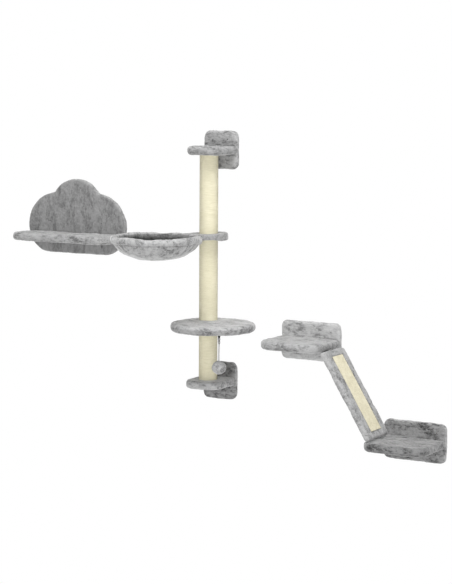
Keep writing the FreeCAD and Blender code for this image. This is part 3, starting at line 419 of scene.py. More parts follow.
cord_line = bpy.data.curves.new("toy_string", "CURVE")
cord_line.dimensions = "3D"
cord_line.bevel_depth = CORD_RADIUS
cord_line.bevel_resolution = 4
cord_line.use_fill_caps = True
spline = cord_line.splines.new("NURBS")
spline.points.add(len(CORD_ROUTE) - 1)
for point, place in zip(spline.points, CORD_ROUTE):
    point.co = (*place, 1)
spline.order_u = 3
spline.use_endpoint_u = True
spline.resolution_u = 12
toy_string = bpy.data.objects.new("toy_string", cord_line)
bpy.context.collection.objects.link(toy_string)
print("cord through", len(CORD_ROUTE), "points")

# %% [markdown]
# The cord's loop goes through the steel ring, and a small knot closes it. The knot is two
# rounds of cord, tilted against each other and melted into one by a voxel remesh. Tied turn
# by turn, it would look no different at this size.

# %% Loop and knot of the cord
LOOP_Z, LOOP_RADIUS, LOOP_CORD = 0.2315, 0.0045, 0.0014
KNOT_HIGH_Z, KNOT_LOW_Z = 0.2255, 0.2232
KNOT_RADIUS, KNOT_CORD = 0.0023, 0.0015
KNOT_TILT, KNOT_LEAN = 0.45, 0.2
KNOT_VOXEL = 0.0004


def cord_round(name, height, turn, radius, cord_radius, segments):
    clear_selection()
    bpy.ops.mesh.primitive_torus_add(location=(TOY_X, TOY_Y, height), rotation=turn,
                                     major_segments=segments[0], minor_segments=segments[1],
                                     major_radius=radius, minor_radius=cord_radius)
    return finish_start(name)


def knot_turn(name, height, tilt):
    return cord_round(name, height, (tilt, KNOT_LEAN, 0), KNOT_RADIUS, KNOT_CORD, (28, 10))


toy_string_loop = cord_round("toy_string_loop", LOOP_Z, (math.pi / 2, 0, 0),
                             LOOP_RADIUS, LOOP_CORD, (36, 12))
toy_string_knot = knot_turn("toy_string_knot", KNOT_HIGH_Z, KNOT_TILT)
combine(toy_string_knot, knot_turn("lower turn", KNOT_LOW_Z, -KNOT_TILT), "UNION")
apply_modifier(toy_string_knot, "REMESH", mode="VOXEL", voxel_size=KNOT_VOXEL)
apply_modifier(toy_string_knot, "SMOOTH", factor=0.5, iterations=2)
print("knot of", len(toy_string_knot.data.polygons), "faces")

# %% [markdown]
# The ball is a stuffed plush pompon. A sphere is pushed out and in by two cloud textures,
# one as wide as a tuft of pile and one as fine as its tips.

# %% Toy ball
BALL_Z, BALL_RADIUS = 0.111, 0.0310
BALL_WIDENING = 1.08

clear_selection()
bpy.ops.mesh.primitive_ico_sphere_add(subdivisions=6, radius=BALL_RADIUS, location=(TOY_X, TOY_Y, BALL_Z))
bpy.context.object.scale = (BALL_WIDENING, BALL_WIDENING, 1.0)
toy_pompon = finish_start("toy_pompon")
pompon_tufts = cloud("pompon tufts", size=0.006, depth=2)
ruffle(toy_pompon, foam_swell, strength=0.004)
ruffle(toy_pompon, pompon_tufts, strength=0.0045)
print("pompon", [round(side, 3) for side in toy_pompon.dimensions], "m")

# %% [markdown]
# The cord is twisted from grey yarns, so its finish has slanting stripes that run round it.
# The angle round an upright axis and the height together give the slant, without any
# unwrapped map; the same helper serves the rope on the posts.

# %% Cord finish
YARN_PITCH, YARNS = 0.0045, 2


def strands(tree, place, pitch, count):
    """A wave across the strands of what is twisted or wound round the Z axis."""
    parts = tree.nodes.new("ShaderNodeSeparateXYZ")
    tree.links.new(place, parts.inputs["Vector"])
    angle = calculate(tree, "ARCTAN2", parts.outputs["Y"], parts.outputs["X"])
    climb = calculate(tree, "MULTIPLY", parts.outputs["Z"], 2 * math.pi / pitch)
    slant = calculate(tree, "ADD", climb, calculate(tree, "MULTIPLY", angle, count))
    return calculate(tree, "SINE", slant)


def string_finish():
    finish, tree, shader = new_finish("grey twisted string")
    place = object_place(tree, shift=(-TOY_X, -TOY_Y, 0))
    strand = strands(tree, place, YARN_PITCH, YARNS)
    fuzz = noise(tree, place, scale=900)
    tone = weigh(tree, (strand, 0.25), (fuzz, 0.6))
    colour = ramp_of(tree, tone, (0.0, (0.02, 0.02, 0.02)), (0.6, (0.09, 0.09, 0.09)))
    normal = bump_of(tree, tone, strength=0.6, distance=0.0006)
    drive(tree, shader, colour, normal, weigh(tree, (fuzz, 0.2), base=0.7), specular=0.2)
    return finish


grey_string = string_finish()
hand_over(toy_string, "toy", grey_string, "cord", "toy_cord")
hand_over(toy_string_loop, "toy", grey_string, "cord")
hand_over(toy_string_knot, "toy", grey_string, "cord")
hand_over(toy_pompon, "toy", ball_plush, "plush", "toy_ball")

# %% [markdown]
# A wall plate is a board with plush glued round its front and edges; its bare back lies on
# the wall. The cover starts as a block that reaches a little into the wall, gets round
# corners and a soft front edge, and is cut flat at the wall. A pocket in its back shows the
# bare board, and the screws go through four holes in the pile.

# %% Shape of a wall plate
BOARD, PLUSH, FIT_GAP = 0.016, 0.012, 0.0003
PLATE_DEPTH, PLATE_HEIGHT = BOARD + PLUSH, 0.184
PLATE_CORNER = 0.030
PLATE_FRONT_EDGE, PLATE_BACK_EDGE = 0.013, 0.008
WALL_OVERLAP = 0.003
PAST_WALL = 0.01
POCKET_MARGIN, POCKET_DEPTH = PLUSH - FIT_GAP, BOARD + FIT_GAP
PILE_HOLE = 0.0033
HOLE_START = -0.05
HOLE_RISE = 0.050


def same(a, b):
    return abs(a - b) < 1e-5


def runs_into_wall(a, b):
    return same(a.x, b.x) and same(a.z, b.z)


def lies_at(depth):
    """A test for the edges at one distance from the wall."""
    return lambda a, b: same(a.y, depth) and same(b.y, depth)


def screw_hole(piece, x, z):
    middle = (x, (HOLE_START + PAST_WALL) / 2, z)
    combine(piece, drum("hole", middle, PILE_HOLE, PAST_WALL - HOLE_START, along="Y", sides=20))


def painted_rim_light(point):
    """Painted highlight, where light from above falls: 1 on the sides and upper edge of a plate, 0 on its
    face and lower edge.
    """
    return fade(abs(point.normal.y), 0.75, 0.35) * fade(point.normal.z, -0.7, -0.2)


def wall_plate(name, x, z, width, hole_reach):
    left, right, low, high = x - width / 2, x + width / 2, z - PLATE_HEIGHT / 2, z + PLATE_HEIGHT / 2
    plate = block(name, (left, -PLATE_DEPTH, low), (right, WALL_OVERLAP, high))
    soften_rim(plate, runs_into_wall, PLATE_CORNER, segments=8)
    soften_rim(plate, lies_at(-PLATE_DEPTH), PLATE_FRONT_EDGE)
    soften_rim(plate, lies_at(WALL_OVERLAP), PLATE_BACK_EDGE)
    plump(plate, voxel=0.0045)
    trim(plate, 0)
    pocket = block("pocket", (left + POCKET_MARGIN, -POCKET_DEPTH, low + POCKET_MARGIN),
                   (right - POCKET_MARGIN, PAST_WALL, high - POCKET_MARGIN))
    soften_rim(pocket, runs_into_wall, PLATE_CORNER - POCKET_MARGIN, segments=8)
    combine(plate, pocket)
    for across in (-hole_reach, hole_reach):
        for rise in (-HOLE_RISE, HOLE_RISE):
            screw_hole(plate, x + across, z + rise)
    mark_points(plate, "rim", painted_rim_light)
    return plate


# %% [markdown]
# The post has a square plate at its foot and one at its head, and each shelf has a wider one.
# They are one shape at two widths. Each is made afresh, so that no two have the same tufts.

# %% Four wall plates
FOOT_Z, HEAD_Z = 0.0, 1.116
HIGH_SHELF_X, HIGH_SHELF_Z = 0.497, 0.229
LOW_SHELF_X, LOW_SHELF_Z = 1.039, -0.192
POST_WIDTH, POST_HOLES = 0.184, 0.040
SHELF_WIDTH, SHELF_HOLES = 0.312, 0.110

post_foot_plate = wall_plate("post_foot_plate_plush", 0, FOOT_Z, POST_WIDTH, POST_HOLES)
post_head_plate = wall_plate("post_head_plate_plush", 0, HEAD_Z, POST_WIDTH, POST_HOLES)
high_shelf_plate = wall_plate("high_shelf_plate_plush", HIGH_SHELF_X, HIGH_SHELF_Z,
                              SHELF_WIDTH, SHELF_HOLES)
low_shelf_plate = wall_plate("low_shelf_plate_plush", LOW_SHELF_X, LOW_SHELF_Z,
                             SHELF_WIDTH, SHELF_HOLES)
hand_over_cover(post_foot_plate, deep_plush, "lower_wall_cover")
hand_over_cover(post_head_plate, pale_plush, "upper_wall_cover")
hand_over_cover(high_shelf_plate, bright_plush, "upper_shelf_wall_cover")
hand_over_cover(low_shelf_plate, deep_plush, "lower_shelf_wall_cover")

# %% [markdown]
# The brackets, shelves and the lounge seat are the same thing at different sizes: a board
# with two round front corners, wrapped in plush all round. Their back ends butt against the
# wall plates, so there they are cut flat.

# %% Shape of a shelf
PLATE_FRONT = -PLATE_DEPTH - FIT_GAP
INTO_PLATE = 0.008
SHELF_HALF = BOARD / 2 + PLUSH
SHELF_EDGE = 0.014


def shelf(name, x, z, width, front, corner, left_corner=None):
    left, right, low, high = x - width / 2, x + width / 2, z - SHELF_HALF, z + SHELF_HALF
    at_front = lies_at(front)

    def on_open_rim(a, b):
        level = same(a.z, b.z) and (same(a.z, low) or same(a.z, high))
        return level and min(a.y, b.y) < PLATE_FRONT

    slab = block(name, (left, front, low), (right, PLATE_FRONT + INTO_PLATE, high))
    for end, radius in ((left, left_corner or corner), (right, corner)):
        soften_rim(slab, lambda a, b: at_front(a, b) and same(a.x, end) and same(b.x, end), radius,
                   segments=14)
    soften_rim(slab, on_open_rim, SHELF_EDGE, segments=5)
    plump(slab)
    trim(slab, PLATE_FRONT)
    return slab


# %% [markdown]
# A bracket has a round bed in its plush, in which the wound post stands, and a small one on
# its other side for the head of the bolt. Both are cut out after the padding, so that their
# edges stay crisp.

# %% Brackets, shelves and seat
POST_Y, POST_RADIUS = -0.129, 0.045
ROPE_ROOM, BOLT_ROOM = POST_RADIUS + FIT_GAP, 0.014
BED_OFFSET, BED_DEPTH = 0.022, 0.028
LOUNGE_X = -0.844


def bracket(name, z, towards_post):
    slab = shelf(name, 0, z, POST_WIDTH, front=-0.226, corner=0.065)
    post_z, bolt_z = z + towards_post * BED_OFFSET, z - towards_post * BED_OFFSET
    combine(slab, drum("post room", (0, POST_Y, post_z), ROPE_ROOM, BED_DEPTH))
    combine(slab, drum("bolt room", (0, POST_Y, bolt_z), BOLT_ROOM, BED_DEPTH, sides=32))
    return slab


foot_bracket = bracket("post_foot_bracket_plush", FOOT_Z, towards_post=1)
head_bracket = bracket("post_head_bracket_plush", HEAD_Z, towards_post=-1)
high_shelf = shelf("high_shelf_plush", HIGH_SHELF_X, HIGH_SHELF_Z, SHELF_WIDTH,
                   front=-0.277, corner=0.064, left_corner=0.074)
low_shelf = shelf("low_shelf_plush", LOW_SHELF_X, LOW_SHELF_Z, SHELF_WIDTH, front=-0.279, corner=0.064)
lounge_seat = shelf("lounge_seat_plush", LOUNGE_X, z=0.660, width=0.578, front=-0.200, corner=0.052)
hand_over_cover(foot_bracket, platform_pile, "lower_bracket_cover")
hand_over_cover(head_bracket, bracket_plush, "upper_bracket_cover")
hand_over_cover(high_shelf, pale_plush, "upper_shelf_cover")
hand_over_cover(low_shelf, shade_painted_plush, "lower_shelf_cover")
hand_over_cover(lounge_seat, pale_plush, "lounge_seat_cover")

# %% [markdown]
# The platform is a round board, wrapped the same way, with a round opening where the post
# passes. A drum with a soft rim becomes the cushion-like disc of the photograph.

# %% Platform
PLATFORM = Vector((0.077, -0.2145, 0.289))
PLATFORM_RADIUS, PLATFORM_DEPTH = 0.2015, 0.038
HOOK_ROOM, HOOK_ROOM_Z, HOOK_ROOM_DEPTH = 0.0027, 0.272, 0.02
THROUGH = 0.08

platform = drum("platform_plush", PLATFORM, PLATFORM_RADIUS, PLATFORM_DEPTH, sides=96)
soften_rim(platform, lambda a, b: same(a.z, b.z), SHELF_EDGE, segments=5)
plump(platform)
combine(platform, drum("post room", (0, POST_Y, PLATFORM.z), ROPE_ROOM, THROUGH))
combine(platform, drum("hook room", (TOY_X, TOY_Y, HOOK_ROOM_Z), HOOK_ROOM, HOOK_ROOM_DEPTH, sides=16))
# The sides and underside of the platform are marked for painted shade, darker as if out of the light from
# above.
mark_points(platform, "rim", lambda point: fade(point.normal.z, 0.6, 0.1))
hand_over_cover(platform, platform_pile, "platform_cover")

# %% [markdown]
# The lounge back has three lobes: one on each side and a higher crown in the middle. Half of
# its outline is drawn by spinning a point round the centre of each arc, as with a pair of
# compasses, then mirrored, filled and given its depth.

# %% Lounge back outline
LOBE, LOBE_RADIUS = Vector((0.12376, 0.706)), 0.172
CROWN, CROWN_RADIUS = Vector((0.0, 0.790)), 0.160
NOTCH_RADIUS = 0.008
LOUNGE_BOTTOM = 0.573
MERGE_BELOW = 0.0004


def meeting(first, first_radius, second, second_radius):
    """The outer point at these distances from two centres."""
    between = second - first
    apart = between.length
    along = (first_radius ** 2 - second_radius ** 2 + apart ** 2) / (2 * apart)
    aside = math.sqrt(first_radius ** 2 - along ** 2)
    across = Vector((between.y, -between.x)) / apart
    return first + between / apart * along + across * aside


def bearing(middle, point):
    return math.atan2(point.y - middle.y, point.x - middle.x)


def spin_point(middle, front, start, end, steps):
    """Draws an arc from the selected point; angles run from +X towards +Z."""
    bpy.ops.mesh.spin(steps=steps, angle=end - start, center=(LOUNGE_X + middle.x, front, middle.y),
                      axis=(0, 1, 0))


def single_point(name, place):
    """A plane, merged into its middle and left in edit mode with that point selected."""
    clear_selection()
    bpy.ops.mesh.primitive_plane_add(size=0.01, location=place)
    piece = finish_start(name)
    bpy.ops.object.mode_set(mode="EDIT")
    bpy.ops.mesh.select_all(action="SELECT")
    bpy.ops.mesh.merge(type="CENTER")
    bpy.ops.mesh.select_mode(type="VERT")
    bpy.ops.mesh.select_all(action="SELECT")
    return piece


def lobed_block(name, inset, corner_radius, front, back):
    """A block with the lounge's outline, drawn smaller by the inset."""
    bottom = LOUNGE_BOTTOM + inset
    corner_rise = LOBE.y - bottom - corner_radius
    corner_reach = math.sqrt((LOBE_RADIUS - inset - corner_radius) ** 2 - corner_rise ** 2)
    corner_middle = Vector((LOBE.x + corner_reach, bottom + corner_radius))
    notch_middle = meeting(LOBE, LOBE_RADIUS + NOTCH_RADIUS, CROWN, CROWN_RADIUS + NOTCH_RADIUS)
    to_lobe = bearing(LOBE, corner_middle)
    to_notch = bearing(LOBE, notch_middle)
    piece = single_point(name, (LOUNGE_X, front, bottom))
    bpy.ops.mesh.extrude_region_move(TRANSFORM_OT_translate={"value": (corner_middle.x, 0, 0)})
    spin_point(corner_middle, front, -math.pi / 2, to_lobe, steps=12)
    spin_point(LOBE, front, to_lobe, to_notch, steps=40)
    spin_point(notch_middle, front, to_notch - math.pi, bearing(notch_middle, CROWN), steps=5)
    spin_point(CROWN, front, bearing(CROWN, notch_middle), math.pi / 2, steps=24)
    bpy.ops.mesh.select_all(action="SELECT")
    bpy.ops.mesh.duplicate()
    bpy.ops.transform.resize(value=(-1, 1, 1), center_override=(LOUNGE_X, 0, 0))
    bpy.ops.mesh.select_all(action="SELECT")
    bpy.ops.mesh.remove_doubles(threshold=MERGE_BELOW)
    bpy.ops.mesh.edge_face_add()
    bpy.ops.mesh.extrude_region_move(TRANSFORM_OT_translate={"value": (0, back - front, 0)})
    bpy.ops.mesh.select_all(action="SELECT")
    bpy.ops.mesh.normals_make_consistent(inside=False)
    bpy.ops.object.mode_set(mode="OBJECT")
    return piece


# %% [markdown]
# The plush goes over the front and the edges of the board. The same outline, drawn 12 mm
# smaller, cuts the pocket in which the bare board lies against the wall. The plush rounds
# the lower corners more than the board does.

# %% Lounge back
LOUNGE_CORNER, LOUNGE_BOARD_CORNER = 0.132, 0.1043
LOUNGE_FRONT_EDGE, LOUNGE_BACK_EDGE = 0.011, 0.006
LOUNGE_HOLES = 0.158
LOUNGE_HOLE_HEIGHTS = (0.615, 0.733)

lounge_back = lobed_block("lounge_back_plush", 0, LOUNGE_CORNER, -PLATE_DEPTH, WALL_OVERLAP)
soften_rim(lounge_back, lies_at(-PLATE_DEPTH), LOUNGE_FRONT_EDGE)
soften_rim(lounge_back, lies_at(WALL_OVERLAP), LOUNGE_BACK_EDGE)
plump(lounge_back, voxel=0.0055)
trim(lounge_back, 0)
lounge_pocket = lobed_block("lounge pocket", POCKET_MARGIN, LOUNGE_BOARD_CORNER, -POCKET_DEPTH, PAST_WALL)
combine(lounge_back, lounge_pocket)
for across in (-LOUNGE_HOLES, LOUNGE_HOLES):
    for height in LOUNGE_HOLE_HEIGHTS:
        screw_hole(lounge_back, LOUNGE_X + across, height)
mark_points(lounge_back, "rim", painted_rim_light)
hand_over_cover(lounge_back, combed_plush, "lounge_back_cover")

# %% [markdown]
# The hammock hangs in a flat wooden ring on a neck that the post clamps. The neck's cover is
# a disc and a short bridge in one, cut away where the post passes and where the cloth of
# the ring begins. Towards the left of the photograph the cloth pulls it thinner, step by
# step, and smoothing turns the steps into a slope.

# %% Hammock neck
RING = Vector((-0.11109, -0.41841, 0.709))
POST_AT_RING = Vector((0, POST_Y, RING.z))
NECK_ANGLE = math.atan2(RING.y - POST_Y, RING.x)
NECK_RADIUS, NECK_DEPTH, NECK_EDGE = 0.093, 0.037, 0.015
BRIDGE_END_RADIUS, BRIDGE_HALF = 0.17, 0.070
BRIDGE_LENGTH = math.hypot(RING.x, RING.y - POST_Y) - BRIDGE_END_RADIUS
THINNING = ((0.058, 0.94), (0.050, 0.92), (0.042, 0.92), (0.034, 0.93))
HEM_RADIUS, HEM_HALF, HEM_GAP = 0.198, 0.0170, 0.0015

neck = drum("hammock_neck_plush", POST_AT_RING, NECK_RADIUS, NECK_DEPTH, sides=80)
bridge = block("neck bridge", (0, -BRIDGE_HALF, -NECK_DEPTH / 2),
               (BRIDGE_LENGTH, BRIDGE_HALF, NECK_DEPTH / 2))
move_to(bridge, POST_AT_RING, (0, 0, NECK_ANGLE))
combine(neck, bridge, "UNION")
apply_modifier(neck, "BEVEL", width=NECK_EDGE, segments=4, limit_method="ANGLE",
               angle_limit=math.radians(60))
plump(neck)
for edge, share in THINNING:
    choose(neck, "VERT", lambda co: (co - POST_AT_RING).dot(level_right) < edge)
    bpy.ops.transform.resize(value=(1, 1, share), center_override=RING)
bpy.ops.object.mode_set(mode="OBJECT")
apply_modifier(neck, "SMOOTH", factor=0.5, iterations=6)
combine(neck, drum("ring room", RING, HEM_RADIUS + HEM_HALF + HEM_GAP, THROUGH, sides=96))
combine(neck, drum("post room", POST_AT_RING, ROPE_ROOM, THROUGH))
hand_over_cover(neck, bracket_plush, "hammock_neck_cover")

# %% [markdown]
# The hem is the tunnel of cloth round the wooden ring. It is soft and a little wavy, so a
# torus is squeezed at every few columns, as gathered cloth is between its stitches, and then
# swelled by clouds. Its inner side and the crease of its seam get painted shade, and the whole
# hem gets a painted highlight that makes it paler than the bag.

# %% Hammock hem
COLUMNS, GATHER_EVERY = 120, 4
HEM_PINCH = 0.94
SEAM_HEIGHT, SEAM_SHADE = 0.693, 0.7


def gathered(co):
    """True for the points on every fourth column round the ring."""
    turn = (math.atan2(co.y - RING.y, co.x - RING.x) / (2 * math.pi)) % 1.0
    return round(turn * COLUMNS) % GATHER_EVERY == 0


def hem_shade(point):
    """Painted shade: 1 on the inner side of the hem, and part of that in the crease of its seam below."""
    inside = fade((point.co - RING).xy.length, HEM_RADIUS, HEM_RADIUS - 0.008)
    below_top = fade(point.co.z, RING.z + 0.013, RING.z + 0.007)
    crease = SEAM_SHADE * fade(point.co.z, SEAM_HEIGHT + 0.004, SEAM_HEIGHT)
    return max(inside * below_top, crease)


clear_selection()
bpy.ops.mesh.primitive_torus_add(location=RING, major_segments=COLUMNS, minor_segments=20,
                                 major_radius=HEM_RADIUS, minor_radius=HEM_HALF)
hem = finish_start("hammock_hem_cloth")
choose(hem, "VERT", gathered)
bpy.ops.transform.resize(value=(1, 1, HEM_PINCH), center_override=RING)
bpy.ops.object.mode_set(mode="OBJECT")
hem_waves = cloud("hem waves", size=0.09, depth=0)
apply_modifier(hem, "SUBSURF", levels=2, render_levels=2)
ruffle(hem, hem_waves, strength=0.014, direction="Z")
ruffle(hem, foam_swell, strength=0.004)
ruffle(hem, pile_tufts, strength=0.003)
mark_points(hem, "painted_shade", hem_shade)
# The whole hem is marked for a painted highlight that makes it a little paler than the bag.
mark_points(hem, "rim", lambda point: 1.0)
hand_over(hem, "wall_units", bag_plush, "plush", "hammock_hem")

# %% [markdown]
# The bag is one round cut of plush, sewn to the hem and sagging under its own weight. A ring
# of points is extruded down the bag's profile, a radius and a depth at a time, and closed at
# the bottom. Dropping a cloth in a simulation would sag as well, but the depth of the bag in
# the photograph is easier to meet with a profile.

# %% Hammock bag
BAG_TOP = 0.7000
BAG_PROFILE = ((0.2065, 0.0), (0.2045, 0.009), (0.1980, 0.018), (0.1880, 0.029), (0.1755, 0.041),
               (0.1600, 0.0535), (0.1400, 0.0645), (0.1150, 0.0745), (0.0850, 0.0820), (0.0530, 0.0868),
               (0.0250, 0.0890))
BAG_CLOSING = 0.0005

clear_selection()
bpy.ops.mesh.primitive_circle_add(vertices=COLUMNS, radius=BAG_PROFILE[0][0],
                                  location=(RING.x, RING.y, BAG_TOP))
bag = finish_start("hammock_bag_cloth")
bpy.ops.object.mode_set(mode="EDIT")
bpy.ops.mesh.select_all(action="SELECT")
for (radius, depth), (next_radius, next_depth) in zip(BAG_PROFILE, BAG_PROFILE[1:]):
    bpy.ops.mesh.extrude_region_move(TRANSFORM_OT_translate={"value": (0, 0, depth - next_depth)})
    share = next_radius / radius
    bpy.ops.transform.resize(value=(share, share, 1), center_override=RING)
bpy.ops.mesh.extrude_region_move(TRANSFORM_OT_translate={"value": (0, 0, -BAG_CLOSING)})
bpy.ops.mesh.merge(type="CENTER")
bpy.ops.mesh.select_all(action="SELECT")
bpy.ops.mesh.normals_make_consistent(inside=False)
bpy.ops.object.mode_set(mode="OBJECT")
print("bag of", len(bag.data.polygons), "faces before it is thickened")

# %% [markdown]
# The cut is wider than the hem, so it is gathered there. Every fourth column of the upper
# rings is drawn in, a thickness is given to the cloth, and subdivision rounds the gathers.
# The inner wall comes with a vertex group, and its points are marked for painted shade, as the inside of the
# bag lies in shadow.

# %% Bag gathers
GATHER_PULLS = (0.975, 0.965, 0.972, 0.984)
CLOTH_THICKNESS = 0.007

for (radius, depth), pull in zip(BAG_PROFILE[1:], GATHER_PULLS):
    choose(bag, "VERT", lambda co: same(co.z, BAG_TOP - depth) and gathered(co))
    bpy.ops.transform.resize(value=(pull, pull, 1), center_override=RING)
bpy.ops.object.mode_set(mode="OBJECT")
bag_folds = cloud("bag folds", size=0.06, depth=1)
apply_modifier(bag, "SUBSURF", levels=1, render_levels=1)
ruffle(bag, bag_folds, strength=0.008)
bag.vertex_groups.new(name="inner side")
apply_modifier(bag, "SOLIDIFY", thickness=CLOTH_THICKNESS, offset=-1, shell_vertex_group="inner side")
apply_modifier(bag, "SUBSURF", levels=1, render_levels=1)
ruffle(bag, pile_tufts, strength=0.002)
inner_side = {point.index for point in bag.data.vertices
              if any(member.weight > 0.5 for member in point.groups)}


def bag_shade(point):
    """Painted shade: 1 on the inner side of the bag, and part of that in the crease under the seam at the
    hem.
    """
    if point.index in inner_side:
        return 1.0
    return SEAM_SHADE * fade(point.co.z, SEAM_HEIGHT - 0.005, SEAM_HEIGHT - 0.001)


# Painted shade inside the bag and in the crease under the hem.
mark_points(bag, "painted_shade", bag_shade)
print("bag points on the inner side", len(inner_side), "of", len(bag.data.vertices))
hand_over(bag, "wall_units", bag_plush, "plush", "hammock_bag")

# %% [markdown]
# Sisal rope is wound round the tubes, each turn tight against the last. One round of rope is
# drawn once, and a Screw modifier carries it up the post, as a hand winds it.

# %% Sisal windings
ROPE_PITCH, ROPE_FLATTENING = 0.0055, 0.87
SLEEVE = 0.005
ROPE_MIDDLE = POST_RADIUS - SLEEVE / 2
ROPE_SIDES, STEPS_PER_TURN = 8, 48


def winding(name, low, high):
    clear_selection()
    bpy.ops.mesh.primitive_circle_add(vertices=ROPE_SIDES, radius=ROPE_PITCH / 2,
                                      location=(ROPE_MIDDLE, 0, low + ROPE_PITCH / 2),
                                      rotation=(math.pi / 2, 0, 0))
    bpy.context.object.scale = (ROPE_FLATTENING, 1, 1)
    rope = finish_start(name)
    turns = int((high - low) / ROPE_PITCH) - 1
    rise = (high - low - ROPE_PITCH) / turns
    apply_modifier(rope, "SCREW", axis="Z", screw_offset=rise, iterations=turns, steps=STEPS_PER_TURN,
                   render_steps=STEPS_PER_TURN, use_smooth_shade=True, use_merge_vertices=False)
    choose(rope, "EDGE", lambda a, b: False)
    bpy.ops.mesh.select_non_manifold(extend=False, use_wire=False, use_boundary=True,
                                     use_multi_face=False, use_non_contiguous=False, use_verts=False)
    bpy.ops.mesh.edge_face_add()
    bpy.ops.mesh.select_all(action="SELECT")
    bpy.ops.transform.translate(value=(0, POST_Y, 0))
    bpy.ops.mesh.normals_make_consistent(inside=False)
    bpy.ops.object.mode_set(mode="OBJECT")
    print(name, turns, "turns")
    return rope


low_winding = winding("low_sisal_rope", low=0.008, high=0.282)
middle_winding = winding("middle_sisal_rope", low=0.298, high=0.701)
high_winding = winding("high_sisal_rope", low=0.717, high=1.108)

# %% [markdown]
# The rope has strands that run slantwise over each turn, and loose fibres. Some stretches are
# paler than others, and so are some turns, because rope is spun from many leaves.

# %% Sisal rope finish
DARK_SISAL, SISAL, PALE_SISAL = (0.575, 0.54, 0.382), (0.72, 0.683, 0.52), (0.79, 0.754, 0.615)
STRANDS_PER_TURN = 45


def rope_finish():
    finish, tree, shader = new_finish("natural sisal rope")
    place = object_place(tree, shift=(0, -POST_Y, 0))
    strand = strands(tree, place, ROPE_PITCH, STRANDS_PER_TURN)
    fibres = noise(tree, place, scale=700)
    stains = noise(tree, place, scale=18, detail=3.0)
    along_turns = object_place(tree, stretch=(0.12, 0.12, 1.0))
    turns = noise(tree, along_turns, scale=240, detail=1.0)
    tone = weigh(tree, (strand, 0.10), (fibres, 0.30), (stains, 0.28), (turns, 0.36))
    colour = ramp_of(tree, tone, (0.22, DARK_SISAL), (0.5, SISAL), (0.72, PALE_SISAL))
    relief = weigh(tree, (strand, 0.5), (fibres, 0.6))
    normal = bump_of(tree, relief, strength=0.5, distance=0.0009)
    drive(tree, shader, colour, normal, weigh(tree, (fibres, 0.2), base=0.72), specular=0.2)
    return finish


sisal_rope = rope_finish()
hand_over(low_winding, "wall_units", sisal_rope, "sisal", "lower_sisal_wrap")
hand_over(middle_winding, "wall_units", sisal_rope, "sisal", "middle_sisal_wrap")
hand_over(high_winding, "wall_units", sisal_rope, "sisal", "upper_sisal_wrap")

# %% [markdown]
# The ramp is a narrow plush board with a strip of woven sisal let into its top. It is made
# lying flat along X with the hinge pin at the origin, then turned down and moved to the pin.
# Its beds for the mat and for the hinge are cut while it still lies flat.

# %% Ramp cover
PIN = Vector((0.6605, -0.155, 0.2032))
RAMP_ANGLE = math.radians(58.0)
RAMP_START, RAMP_END = -0.0038, 0.44888
RAMP_LOW, RAMP_HIGH = 0.0059, 0.0359
RAMP_HALF, RAMP_EDGE = 0.1025, 0.010
MAT_START, MAT_END = 0.0305, 0.41488
MAT_LOW, MAT_HIGH = 0.0334, 0.0374
MAT_HALF = 0.0505
MAT_ROOM, MAT_GROOVE = 0.002, 0.0055
MAT_SINKING, ABOVE_RAMP = 0.0006, 0.02
HINGE_BED_START, HINGE_BED_END = (-0.01, -0.034, -0.01), (0.098, 0.034, 0.0060)


def turn_down(piece):
    move_to(piece, PIN, (0, RAMP_ANGLE, 0))


ramp_plush = block("ramp_plush_cover", (RAMP_START, -RAMP_HALF, RAMP_LOW), (RAMP_END, RAMP_HALF, RAMP_HIGH))
apply_modifier(ramp_plush, "BEVEL", width=RAMP_EDGE, segments=4)
plump(ramp_plush, voxel=0.0045, swell=0.007)
combine(ramp_plush, block("mat bed", (MAT_START - MAT_ROOM, -MAT_HALF - MAT_ROOM, MAT_LOW - MAT_SINKING),
                          (MAT_END + MAT_ROOM, MAT_HALF + MAT_GROOVE, MAT_HIGH + ABOVE_RAMP)))
combine(ramp_plush, block("hinge bed", HINGE_BED_START, HINGE_BED_END))
turn_down(ramp_plush)
hand_over_cover(ramp_plush, pale_plush, "ramp_cover", body="ramp")

# %% [markdown]
# The mat is a coarse sisal weave. A fine grid is raised cell by cell like a chequer board,
# and a subdivision rounds the raised cells into the humps of the yarn.

# %% Sisal mat
MAT_ROWS, MAT_ENDS = 110, 30
YARN_RISE, YARN_INSET = 0.0012, 0.0007
MAT_THICKNESS = 0.0026
row_length = (MAT_END - MAT_START) / MAT_ROWS
end_width = 2 * MAT_HALF / MAT_ENDS


def raised(middle, facing):
    row = int((middle.x - MAT_START) / row_length)
    end = int((middle.y + MAT_HALF) / end_width)
    return (row + end) % 2 == 0


clear_selection()
bpy.ops.mesh.primitive_grid_add(x_subdivisions=MAT_ROWS, y_subdivisions=MAT_ENDS, size=1,
                                location=((MAT_START + MAT_END) / 2, 0, MAT_HIGH - YARN_RISE))
bpy.context.object.scale = (MAT_END - MAT_START, 2 * MAT_HALF, 1)
mat = finish_start("ramp_sisal_mat")
choose(mat, "FACE", raised)
bpy.ops.mesh.inset(thickness=YARN_INSET, depth=0.0, use_individual=True)
bpy.ops.transform.translate(value=(0, 0, YARN_RISE))
bpy.ops.object.mode_set(mode="OBJECT")
apply_modifier(mat, "SOLIDIFY", thickness=MAT_THICKNESS, offset=-1)
apply_modifier(mat, "SUBSURF", levels=1, render_levels=1)
turn_down(mat)
print("mat of", MAT_ROWS, "rows and", MAT_ENDS, "ends")

# %% [markdown]
# The mat is the same fibre as the rope, a little darker and without strands, since the weave
# is in the mesh. A Mapping node turns the noise with the ramp.

# %% Sisal mat finish
DARK_MAT, PLAIN_MAT, PALE_MAT = (0.46, 0.425, 0.31), (0.60, 0.56, 0.42), (0.68, 0.645, 0.51)


